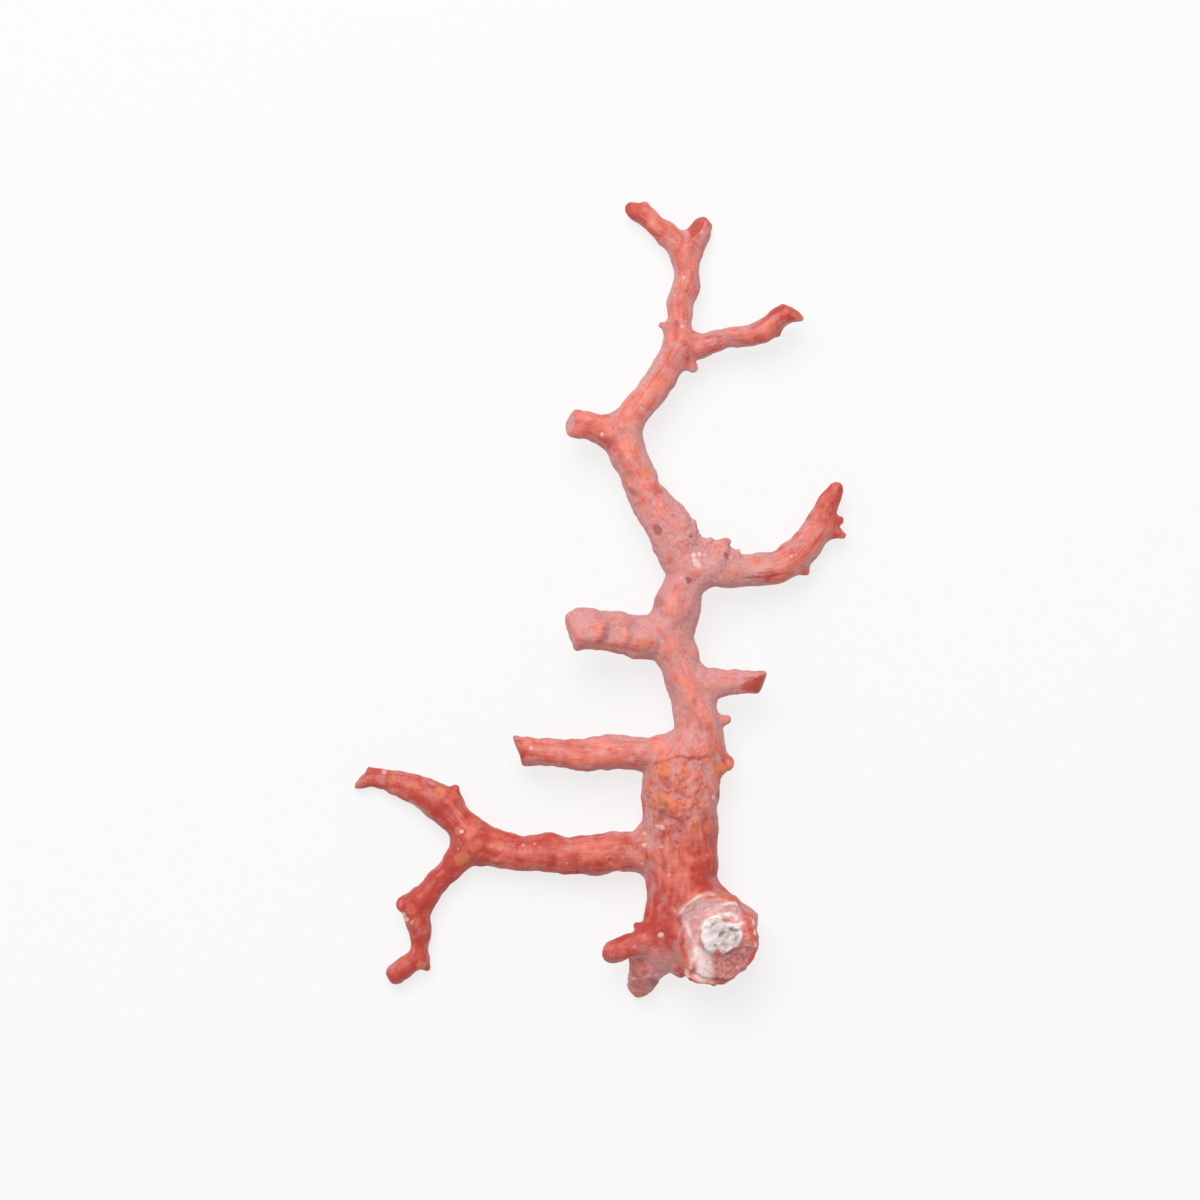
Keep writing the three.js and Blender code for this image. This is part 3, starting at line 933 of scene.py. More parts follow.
class Value:
    """A socket's number in shader arithmetic."""

    def __init__(self, sheet: "NodeSheet", socket: bpy.types.NodeSocket) -> None:
        """Keeps the socket.

        Args:
            sheet: The nodes that the socket is among.
            socket: The socket.
        """
        self.sheet = sheet
        self.socket = socket

    def _maths(self, operation: str, *terms: "Value | float", clamp: bool = False) -> "Value":
        """Adds one Math node.

        Args:
            operation: The node's operation.
            *terms: Its inputs, in order.
            clamp: Whether the result is held between 0 and 1.

        Returns:
            The node's result.
        """
        settings = {"operation": operation, "use_clamp": clamp}
        node = self.sheet.node("ShaderNodeMath", settings, dict(enumerate(terms)))
        return Value(self.sheet, node.outputs[0])

    def __add__(self, other: "Value | float") -> "Value":
        """This plus other."""
        return self._maths("ADD", self, other)

    __radd__ = __add__

    def __sub__(self, other: "Value | float") -> "Value":
        """This less other."""
        return self._maths("SUBTRACT", self, other)

    def __rsub__(self, other: float) -> "Value":
        """Other less this."""
        return self._maths("SUBTRACT", other, self)

    def __mul__(self, other: "Value | float") -> "Value":
        """This times other."""
        return self._maths("MULTIPLY", self, other)

    __rmul__ = __mul__

    def held(self) -> "Value":
        """This, held between 0 and 1."""
        return self._maths("ADD", self, 0.0, clamp=True)

    def between(self, low: float, high: float) -> "Value":
        """How far this has come from low to high, held between 0 and 1 and eased.

        Args:
            low: Where the result is 0.
            high: Where it is 1.

        Returns:
            The eased share.
        """
        sockets = {0: self, 1: low, 2: high, 3: 0.0, 4: 1.0}
        node = self.sheet.node("ShaderNodeMapRange", {"interpolation_type": "SMOOTHSTEP"}, sockets)
        return Value(self.sheet, node.outputs[0])


class NodeSheet:
    """A material's nodes, added one by one."""

    def __init__(self, material: bpy.types.Material) -> None:
        """Clears the nodes.

        Args:
            material: The material or world that they belong to.
        """
        material.use_nodes = True
        self.tree = material.node_tree
        self.tree.nodes.clear()

    def node(self, kind: str, settings: dict[str, Any], sockets: dict[Any, Any]) -> bpy.types.Node:
        """Adds a node.

        Args:
            kind: The node's type.
            settings: Its settings, set before its sockets.
            sockets: Values or links, by the sockets' names or numbers.

        Returns:
            The node.
        """
        node = self.tree.nodes.new(kind)
        for name, value in settings.items():
            setattr(node, name, value)
        for name, value in sockets.items():
            socket = self._socket(node, name)
            if isinstance(value, Value):
                self.tree.links.new(value.socket, socket)
            elif isinstance(value, bpy.types.NodeSocket):
                self.tree.links.new(value, socket)
            else:
                socket.default_value = value
        return node

    @staticmethod
    def _socket(node: bpy.types.Node, name: str | int) -> bpy.types.NodeSocket:
        """The input of a node.

        Args:
            node: The node.
            name: The input's number, identifier or name.

        Returns:
            The input.
        """
        if isinstance(name, int):
            return node.inputs[name]
        found = [s for s in node.inputs if s.identifier == name]
        return found[0] if found else node.inputs[name]

    def trait(self, name: str) -> Value:
        """A painted channel's value."""
        node = self.node("ShaderNodeAttribute", {"attribute_name": name}, {})
        return Value(self, node.outputs["Fac"])

    def noise(self, place: bpy.types.NodeSocket, scale: float, detail: float = 3.0) -> Value:
        """Noise from 0 to 1 at a place.

        Args:
            place: The place's socket.
            scale: How many cells lie in one unit.
            detail: How many finer waves are added.

        Returns:
            The noise.
        """
        sockets = {"Vector": place, "Scale": scale, "Detail": detail, "Roughness": 0.55}
        return Value(self, self.node("ShaderNodeTexNoise", {}, sockets).outputs["Fac"])

    def stretch(self, place: bpy.types.NodeSocket, scale: Point) -> bpy.types.NodeSocket:
        """A place scaled along each axis."""
        return self.node("ShaderNodeVectorMath", {"operation": "MULTIPLY"}, {0: place, 1: scale}).outputs[0]

    def mix(self, share: Value | float, one: Any, other: Any) -> bpy.types.NodeSocket:
        """A colour between two others.

        Args:
            share: How much of the other there is.
            one: A colour or its socket.
            other: The other colour or its socket.

        Returns:
            The mixed colour's socket.
        """
        sockets = {"Factor_Float": share, "A_Color": one, "B_Color": other}
        node = self.node("ShaderNodeMix", {"data_type": "RGBA"}, sockets)
        return next(s for s in node.outputs if s.identifier == "Result_Color")


def tint(red: int, green: int, blue: int) -> Colour:
    """A screen colour of 0 to 255 as light.

    Args:
        red: Red.
        green: Green.
        blue: Blue.

    Returns:
        The linear colour, opaque.
    """
    share = [value / 255 for value in (red, green, blue)]
    light = [s / 12.92 if s <= 0.04045 else ((s + 0.055) / 1.055) ** 2.4 for s in share]
    return (light[0], light[1], light[2], 1.0)


@dataclass(frozen=True)
class CoralFinish:
    """Weathered coral: red where it is bare, salmon on its crests, with a speckled film in between; painted
    shade darkens the limbs' sides, and the film there is partly a painted sheen.
    """

    name: str
    slot: Slot
    deep: Colour = tint(188, 62, 50)
    salmon: Colour = tint(242, 138, 118)
    film: Colour = tint(202, 143, 143)
    bloom: Colour = tint(221, 164, 160)
    orange: Colour = tint(222, 123, 82)
    cream: Colour = tint(246, 214, 202)
    # The next two colours paint the dark marks: partly dark specks, partly painted shade in pits, cracks and
    # gaps.
    red_speck_and_pit_shade: Colour = tint(140, 56, 50)
    chalk_speck_and_gap_shade: Colour = tint(150, 124, 112)
    snapped: Colour = tint(190, 60, 46)
    chalk: Colour = tint(250, 238, 240)
    clay: Colour = tint(214, 194, 178)
    brick: Colour = tint(190, 104, 92)
    streak_scale: float = 3.4
    streak_length: float = 0.055
    broad_scale: float = 0.9
    broad_length: float = 0.12
    grain_scale: float = 2.8
    cloud_scale: float = 0.5
    crest: float = 0.66
    redness: float = 0.6
    height_share: float = 0.6
    # Painted shade: how much darker the limbs' sides are.
    shade: float = 0.3
    broad_share: float = 1.1
    cloud_share: float = 1.0
    grain_share: float = 0.5
    line_depth: float = 1.5
    film_lines: float = 0.9
    film_thickness: float = 0.72
    roughness: float = 0.52
    groove: float = 0.08

    def build(self) -> bpy.types.Material:
        """Makes the material.

        Returns:
            The material, its colour, roughness and bump worked out by its nodes.
        """
        material = bpy.data.materials.new(self.name)
        sheet = NodeSheet(material)
        place = sheet.stretch(sheet.node("ShaderNodeTexCoord", {}, {}).outputs["Object"], (1 / MM,) * 3)
        fibre = sheet.node("ShaderNodeAttribute", {"attribute_name": "fibre"}, {}).outputs["Vector"]
        streak = sheet.noise(sheet.stretch(fibre, (1.0, 1.0, self.streak_length)), self.streak_scale, 2.0)
        broad = sheet.noise(sheet.stretch(fibre, (1.0, 1.0, self.broad_length)), self.broad_scale, 3.0)
        grain = sheet.noise(place, self.grain_scale, 4.0)
        cloud = sheet.noise(place, self.cloud_scale, 4.0)
        colour = self._skin(sheet, streak, broad, grain, cloud)
        colour = self._stains(sheet, colour, grain, cloud)
        colour = self._base(sheet, colour, place, grain)
        self._surface(sheet, colour, streak, grain)
        return material

    def _skin(
        self, sheet: NodeSheet, streak: Value, broad: Value, grain: Value, cloud: Value
    ) -> bpy.types.NodeSocket:
        """The red and salmon coral under its film, darker on the limbs' sides as painted shade; the film
        there is partly a painted sheen.

        Args:
            sheet: The material's nodes.
            streak: Fine streaks along the limb.
            broad: Broad streaks along the limb.
            grain: Fine noise.
            cloud: Wide noise.

        Returns:
            The colour.
        """
        height = sheet.trait("height")
        tone = self.crest - self.redness * sheet.trait("red") + self.height_share * height
        # Painted shade: the tone falls towards the deep red on the limbs' sides.
        tone = tone - self.shade * sheet.trait("side") + self.broad_share * (broad - 0.5)
        tone = tone + self.cloud_share * (cloud - 0.5) + self.grain_share * (grain - 0.5)
        colour = sheet.mix(tone.held(), self.deep, self.salmon)
        lines = (streak - 0.5) * sheet.trait("streak")
        colour = sheet.mix((0.06 - self.line_depth * lines).held(), colour, self.deep)
        # The film channel also carries a painted sheen on the limbs' sides.
        cover = sheet.trait("film") - 0.5 * height + self.film_lines * lines
        cover = cover + 1.1 * (cloud - 0.5) + 0.9 * (broad - 0.5)
        speckle = grain.between(0.28, 0.76)
        film_and_sheen = cover.between(0.0, 0.95) * (self.film_thickness + 0.2 * speckle)
        return sheet.mix(film_and_sheen.held(), colour, sheet.mix(speckle, self.film, self.bloom))

    def _stains(
        self, sheet: NodeSheet, colour: bpy.types.NodeSocket, grain: Value, cloud: Value
    ) -> bpy.types.NodeSocket:
        """Orange spots, snapped faces and pale specks.

        Args:
            sheet: The material's nodes.
            colour: The skin's colour.
            grain: Fine noise.
            cloud: Wide noise.

        Returns:
            The colour.
        """
        spots = sheet.trait("orange") * (0.4 + 0.5 * grain + 0.9 * sheet.trait("height"))
        colour = sheet.mix(spots.held(), colour, self.orange)
        colour = sheet.mix((sheet.trait("broken") * (0.5 + 0.6 * cloud)).held(), colour, self.snapped)
        specks = (grain.between(0.66, 0.8) * 0.35 + sheet.trait("cream") * 0.8).held()
        return sheet.mix(specks, colour, self.cream)

    def _base(
        self, sheet: NodeSheet, colour: bpy.types.NodeSocket, place: bpy.types.NodeSocket, grain: Value
    ) -> bpy.types.NodeSocket:
        """The chalk and brick-red stone of the broken base, and the dark marks: dark specks, and painted
        shade in pits, cracks and gaps.

        Args:
            sheet: The material's nodes.
            colour: The colour so far.
            place: The place in millimetres.
            grain: Fine noise.

        Returns:
            The colour.
        """
        gritty = sheet.mix(sheet.noise(place, 1.9, 4.0).between(0.35, 0.68), self.brick, self.film)
        colour = sheet.mix((sheet.trait("brick") * 0.9).held(), colour, gritty)
        mottle = sheet.noise(place, 0.9, 5.0).between(0.45, 0.66)
        chalk = sheet.trait("chalk")
        chalky = sheet.mix(mottle * 0.85, self.chalk, self.clay)
        colour = sheet.mix((chalk * (0.75 + 0.5 * grain)).held(), colour, chalky)
        # Dark marks: partly dark specks of the stone, partly painted shade in the pits and the gaps between
        # layers.
        speck_and_shade = sheet.mix(chalk.held(), self.red_speck_and_pit_shade, self.chalk_speck_and_gap_shade)
        return sheet.mix((sheet.trait("dark") * 0.75).held(), colour, speck_and_shade)

    def _surface(
        self, sheet: NodeSheet, colour: bpy.types.NodeSocket, streak: Value, grain: Value
    ) -> None:
        """Joins colour, roughness and bump in the surface.

        Args:
            sheet: The material's nodes.
            colour: The finished colour.
            streak: Fine streaks along the limb.
            grain: Fine noise.
        """
        dull = sheet.trait("film") + sheet.trait("chalk")
        rough = (self.roughness + 0.18 * dull + 0.2 * (grain - 0.5) - 0.12 * sheet.trait("broken")).held()
        height = streak * sheet.trait("streak") + 0.5 * grain
        bump = sheet.node(
            "ShaderNodeBump", {}, {"Strength": 0.5, "Distance": self.groove * MM, "Height": height}
        )
        sockets = {
            "Base Color": colour,
            "Roughness": rough,
            "Normal": bump.outputs["Normal"],
            "IOR": 1.48,
            "Specular IOR Level": 0.45,
            "Sheen Weight": 0.12,
            "Sheen Roughness": 0.5,
            "Sheen Tint": (1.0, 0.88, 0.88, 1.0),
        }
        shader = sheet.node("ShaderNodeBsdfPrincipled", {}, sockets)
        sheet.node("ShaderNodeOutputMaterial", {}, {"Surface": shader.outputs[0]})


FINISHES = (
    CoralFinish("salmon coral", Slot.SALMON),
    CoralFinish("red coral", Slot.RED),
    CoralFinish("foot coral", Slot.FOOT),
)


@dataclass
class SubAssembly:
    """A stretch of the branch: its knobs, cuts, marks and pieces, and a field for each of its limbs."""

    knobs: tuple[Knob, ...] = ()
    cuts: tuple[SawCut, ...] = ()
    slabs: tuple[Slab, ...] = ()
    marks: tuple[Marks, ...] = ()
    patches: tuple[Patch, ...] = ()
    ledges: tuple[Ledge, ...] = ()
    pieces: tuple[Piece, ...] = ()

    @property
    def limbs(self) -> list[Limb]:
        """This stretch's limbs, in the order in which they are joined."""
        return [value for value in vars(self).values() if isinstance(value, Limb)]

    def weather(self, weather: Weather) -> None:
        """Paints this stretch's marks, patches and ledges.

        Args:
            weather: The skin's weathering.
        """
        for marks in self.marks:
            for row in marks.rows:
                weather.mark(marks.trait, Mark(*row))
        for patch in self.patches:
            weather.patch(patch)
        for ledge in self.ledges:
            weather.ledge(ledge)

    def build(self, parted: "PartedSkin") -> dict[str, bpy.types.Object]:
        """Makes this stretch's objects.

        Args:
            parted: The skin, parted at the forks.

        Returns:
            The objects by the names of the solids that they replace.
        """
        return {piece.node: parted.piece(piece) for piece in self.pieces}

    def dress(self, objects: dict[str, bpy.types.Object], finishes: dict[Slot, bpy.types.Material]) -> None:
        """Gives each piece its finish, hides the solid that it replaces, and hangs it on the root body.

        Args:
            objects: This stretch's objects.
            finishes: The materials by slot.
        """
        for piece in self.pieces:
            made = objects[piece.node]
            made.data.materials.append(finishes[piece.slot])
            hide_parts(piece.node)
            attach(made, "root")


SCAR: Outline = (
    (7.2, -26.4), (10.0, -25.6), (14.8, -25.3), (18.6, -24.8), (19.4, -26.4), (17.6, -29.5), (16.9, -33.0),
    (15.2, -36.2), (12.4, -37.4), (9.4, -37.6), (7.4, -35.0), (6.8, -30.6),
)


@dataclass
class Stem(SubAssembly):
    """The trunk from the foot to the crown."""

    trunk: Limb = Limb(
        (
            (12.3, -52.0, 6.2, 5.3), (13.1, -47.2, 6.1, 5.6), (13.3, -42.4, 6.1, 5.6),
            (13.0, -37.6, 6.2, 5.8), (12.8, -32.8, 6.4, 6.1), (13.3, -28.8, 6.5, 6.1),
            (14.7, -25.1, 6.7, 5.1), (15.7, -21.6, 7.0, 4.0), (15.2, -17.6, 7.3, 3.6),
            (13.9, -13.6, 7.6, 3.2), (12.6, -9.6, 7.8, 3.2), (11.7, -5.9, 8.0, 3.1), (12.2, -1.9, 8.0, 3.8),
            (13.1, 1.3, 8.0, 3.4), (13.8, 4.3, 8.0, 3.0), (13.0, 7.7, 8.0, 3.8), (11.2, 11.2, 7.9, 3.8),
            (9.0, 14.6, 7.7, 3.4), (7.0, 17.6, 7.5, 2.8), (5.9, 20.6, 7.3, 2.8), (4.5, 23.7, 7.1, 3.1),
            (3.8, 26.9, 6.9, 2.9), (5.3, 29.8, 6.7, 2.4), (7.7, 32.8, 6.4, 2.5), (9.9, 35.8, 6.0, 2.4),
            (11.7, 38.9, 5.6, 2.5), (12.6, 41.6, 5.2, 2.6), (12.9, 44.8, 4.8, 2.0), (12.9, 47.7, 4.3, 2.0),
            (13.8, 50.9, 3.8, 2.1), (13.9, 54.1, 3.3, 2.2), (13.9, 56.5, 2.9, 2.5),
        ),
        2.5,
    )
    knobs: tuple[Knob, ...] = (
        Knob((18.4, -19.3, 7.2), 1.2, (1.7, 0.3, 0.2), 0.3),
        Knob((19.0, -26.2, 6.9), 2.0, (1.3, 0.1, 0.1), 0.4),
        Knob((11.9, 43.3, 5.0), 2.0, (-2.0, 0.7, 0.2), 0.7),
        Knob((13.0, 38.8, 5.6), 2.1, (1.7, -1.5, 0.1), 0.6),
        Knob((11.3, 14.0, 8.0), 1.1, (0.6, 0.8, 0.2), 0.4),
        Knob((13.6, 11.6, 8.2), 1.1, (1.1, 0.6, 0.2), 0.4),
    )
    cuts: tuple[SawCut, ...] = (
        SawCut((13.2, -45.6, 6.1), (0, 1, 0), 7.4),
        SawCut((15.7, -20.7, 7.1), (0, 1, -0.05), 4.9),
        SawCut((13.0, 0.6, 8.0), (0.15, 1, 0), 4.6),
        SawCut((4.7, 23.2, 7.1), (-0.41, 0.91, 0), 4.2),
    )
    ledges: tuple[Ledge, ...] = (
        Ledge(
            ((18.6, -24.6), (17.3, -24.9), (15.1, -25.1), (12.3, -24.8), (10.5, -25.4), (8.2, -26.2)),
            -0.55, 5.0,
        ),
    )
    marks: tuple[Marks, ...] = (
        Marks(Trait.FILM, (
            (14, 5, 13, 1.1), (13, -13, 13, 1.05), (8, 17, 12, 0.65), (9, 35, 15, 0.7), (14, 52, 10, 0.5),
            (10.2, -39.0, 4.0, 0.5, 1.6, 80), (15.5, -30.5, 6.0, 0.5, 1.4, 90), (6.0, 18.4, 1.0, 0.9),
        )),
        Marks(Trait.RED, (
            (9, 30, 11, -0.1), (13, 50, 11, 0.25), (13, -12, 11, -0.2, 0.8, 90),
            (17.8, -38.8, 4.6, 0.65, 1.9, 95), (13.2, -40.8, 5.4, 0.2, 1.2, 90),
        )),
        Marks(Trait.STREAK, ((13, -42, 11, -0.8),)),
        Marks(Trait.CRUST, ((12.5, 11.5, 6.5, 0.7, 1.3, 120), (19, 8, 5.0, 0.9))),
        Marks(Trait.ORANGE, (
            (9.6, -27.4, 1.6, 0.6, 1.2, -30), (14.3, -26.2, 1.1, 0.6, 1.4, 0),
            (10.2, -32.2, 1.6, 0.6, 1.2, -25), (12.4, -30.4, 1.0, 0.35, 1.5, 60), (19.1, -26.6, 0.9, 0.9),
            (17.2, -36.1, 0.9, 0.7, 1.5, 90), (7.0, -38.0, 0.6, 0.8), (11.0, -39.3, 0.8, 0.5),
            (7.2, 20.2, 0.9, 0.6), (10.9, 11.4, 0.7, 0.6), (14.6, -16.9, 0.6, 0.5),
        )),
        Marks(Trait.LUMP, (
            (10.4, -27.4, 1.2, 0.9), (10.4, -32.4, 1.5, 0.9, 1.2, -25), (16.0, -28.6, 1.2, 0.7),
            (13.6, -33.4, 1.2, 0.6), (16.4, -33.2, 1.3, 0.6), (13.2, -29.6, 1.1, 0.6),
            (11.4, -0.6, 1.3, 0.8, 1.6, 70), (13.3, 12.6, 1.3, 0.7), (9.6, 15.4, 1.2, 0.5),
        )),
        Marks(Trait.DARK, (
            (10.5, -29.0, 0.8, 0.7, 1.5, -40), (9.7, -34.3, 0.9, 0.8, 1.4, 60),
            (12.2, -38.6, 0.3, 0.8, 1.5, -50), (14.2, 3.0, 0.4, 0.9, 1.8, -60), (9.2, -0.4, 1.1, 0.45),
            (9.0, 11.1, 0.7, 0.9, 1.5, -50), (14.5, 10.1, 0.35, 0.8), (5.0, 17.2, 0.5, 0.6, 2.0, -50),
        )),
        Marks(Trait.CREAM, (
            (9.5, -36.1, 0.5, 0.8, 1.6, -20), (7.0, -37.2, 0.35, 0.7), (7.0, -39.0, 0.35, 0.7),
            (18.1, -31.4, 0.3, 0.9), (0.3, 26.4, 0.3, 0.9), (13.4, 51.6, 0.25, 0.9),
            (13.1, 43.7, 0.25, 0.8), (14.9, 7.2, 0.35, 1.0), (15.8, 7.3, 0.3, 1.0), (16.6, 7.2, 0.25, 0.6),
            (15.4, 5.8, 0.5, 0.7, 2.0, -60),
        )),
    )
    patches: tuple[Patch, ...] = (
        Patch(Trait.CRUST, SCAR, 0.5, 0.7, -0.2),
        Patch(Trait.ORANGE, SCAR, 0.12, 0.6),
        Patch(Trait.FILM, SCAR, 0.85, 0.6),
        Patch(Trait.RED, SCAR, 0.5, 0.6),
    )
    pieces: tuple[Piece, ...] = (
        Piece("lower_trunk", Slot.RED, (12.9, -33.0, 6.4)),
        Piece("middle_trunk", Slot.SALMON, (12.6, -9.6, 7.8)),
        Piece("upper_trunk", Slot.SALMON, (9.0, 14.6, 7.7)),
        Piece("crown_stem", Slot.SALMON, (9.9, 35.8, 6.0)),
    )


COLLAR_FACE: Outline = (
    (13.1, -50.9), (13.2, -49.4), (14.4, -48.1), (15.8, -47.3), (18.6, -47.2), (21.0, -48.0), (22.4, -48.8),
    (22.6, -50.4), (22.9, -53.0), (20.5, -55.6), (17.8, -56.3), (15.2, -56.0), (15.6, -52.8), (14.6, -51.2),
)
INNER_RIM: Outline = (
    (13.3, -50.9), (14.8, -51.0), (15.8, -52.8), (15.5, -55.0), (15.1, -57.0), (14.5, -58.6), (13.9, -57.0),
    (13.5, -54.0),
)
CHALK_BREAK: Outline = (
    (17.6, -50.6), (18.6, -50.2), (19.6, -50.9), (20.7, -51.4), (22.2, -51.9), (22.8, -53.2), (21.9, -54.5),
    (21.0, -55.2), (19.6, -56.1), (18.7, -55.4), (17.7, -55.8), (16.6, -55.2), (16.2, -53.9), (16.0, -52.8),
    (16.7, -51.5),
)
COLLAR_LAYER: Outline = (
    (12.5, -50.4), (13.0, -49.1), (14.3, -47.9), (15.7, -47.0), (17.2, -46.6), (18.7, -46.6), (20.6, -46.9),
    (21.7, -47.5), (22.4, -48.3), (22.8, -49.3), (24.0, -49.6), (25.0, -50.4), (25.0, -55.3), (24.2, -55.9),
    (21.5, -56.0), (18.2, -56.8), (18.1, -61.2), (15.7, -60.9), (14.2, -60.5), (13.5, -59.4), (14.2, -56.5),
    (13.7, -53.0),
)
RAISED_LAYER: Outline = (
    (16.3, -52.6), (16.5, -50.5), (17.7, -49.5), (19.6, -48.4), (21.0, -48.1), (22.0, -48.4), (22.7, -49.5),
    (24.3, -49.9), (24.8, -50.7), (24.8, -55.2), (22.6, -54.4), (21.0, -55.2), (19.6, -56.2), (17.7, -55.8),
    (16.6, -54.4),
)
BRICK_FACET: Outline = (
    (17.9, -56.1), (19.6, -56.1), (21.5, -55.1), (22.5, -53.9), (23.6, -53.9), (24.4, -55.4), (23.4, -57.6),
    (23.2, -59.0), (21.6, -60.0), (19.6, -61.0), (18.0, -61.3),
)
BANDED_RIM: Outline = (
    (13.0, -50.9), (13.0, -49.5), (14.3, -48.1), (15.7, -47.3), (17.6, -47.1), (18.8, -47.5), (20.9, -48.1),
    (21.9, -48.4), (22.7, -49.4), (21.9, -50.4), (20.2, -49.9), (18.7, -49.9), (17.6, -50.4), (16.4, -51.3),
    (15.3, -51.0), (13.9, -51.2),
)
INNER_BAND: Outline = (
    (13.2, -50.6), (13.4, -49.4), (14.6, -48.3), (15.9, -47.5), (18.6, -47.6), (19.6, -48.3), (18.0, -49.3),
    (16.4, -50.6), (15.0, -50.8),
)
PALE_CORNER: Outline = (
    (15.4, -54.9), (16.5, -55.2), (17.7, -55.8), (18.0, -57.7), (17.9, -60.8), (16.0, -60.8), (14.9, -59.9),
    (15.2, -58.5), (14.9, -56.9),
)
BRICK_STAIN: Outline = (
    (17.9, -56.1), (19.6, -56.2), (21.5, -55.1), (22.5, -53.9), (23.6, -53.9), (24.4, -55.4), (23.9, -56.1),
    (23.3, -57.7), (23.0, -59.1), (19.9, -60.9), (18.0, -61.3),
)
SIDE_BLOCK: Outline = (
    (21.9, -48.9), (22.7, -49.2), (24.6, -49.9), (25.3, -51.1), (25.2, -55.4), (24.0, -54.9), (23.5, -52.8),
    (22.9, -51.5), (21.9, -50.8),
)


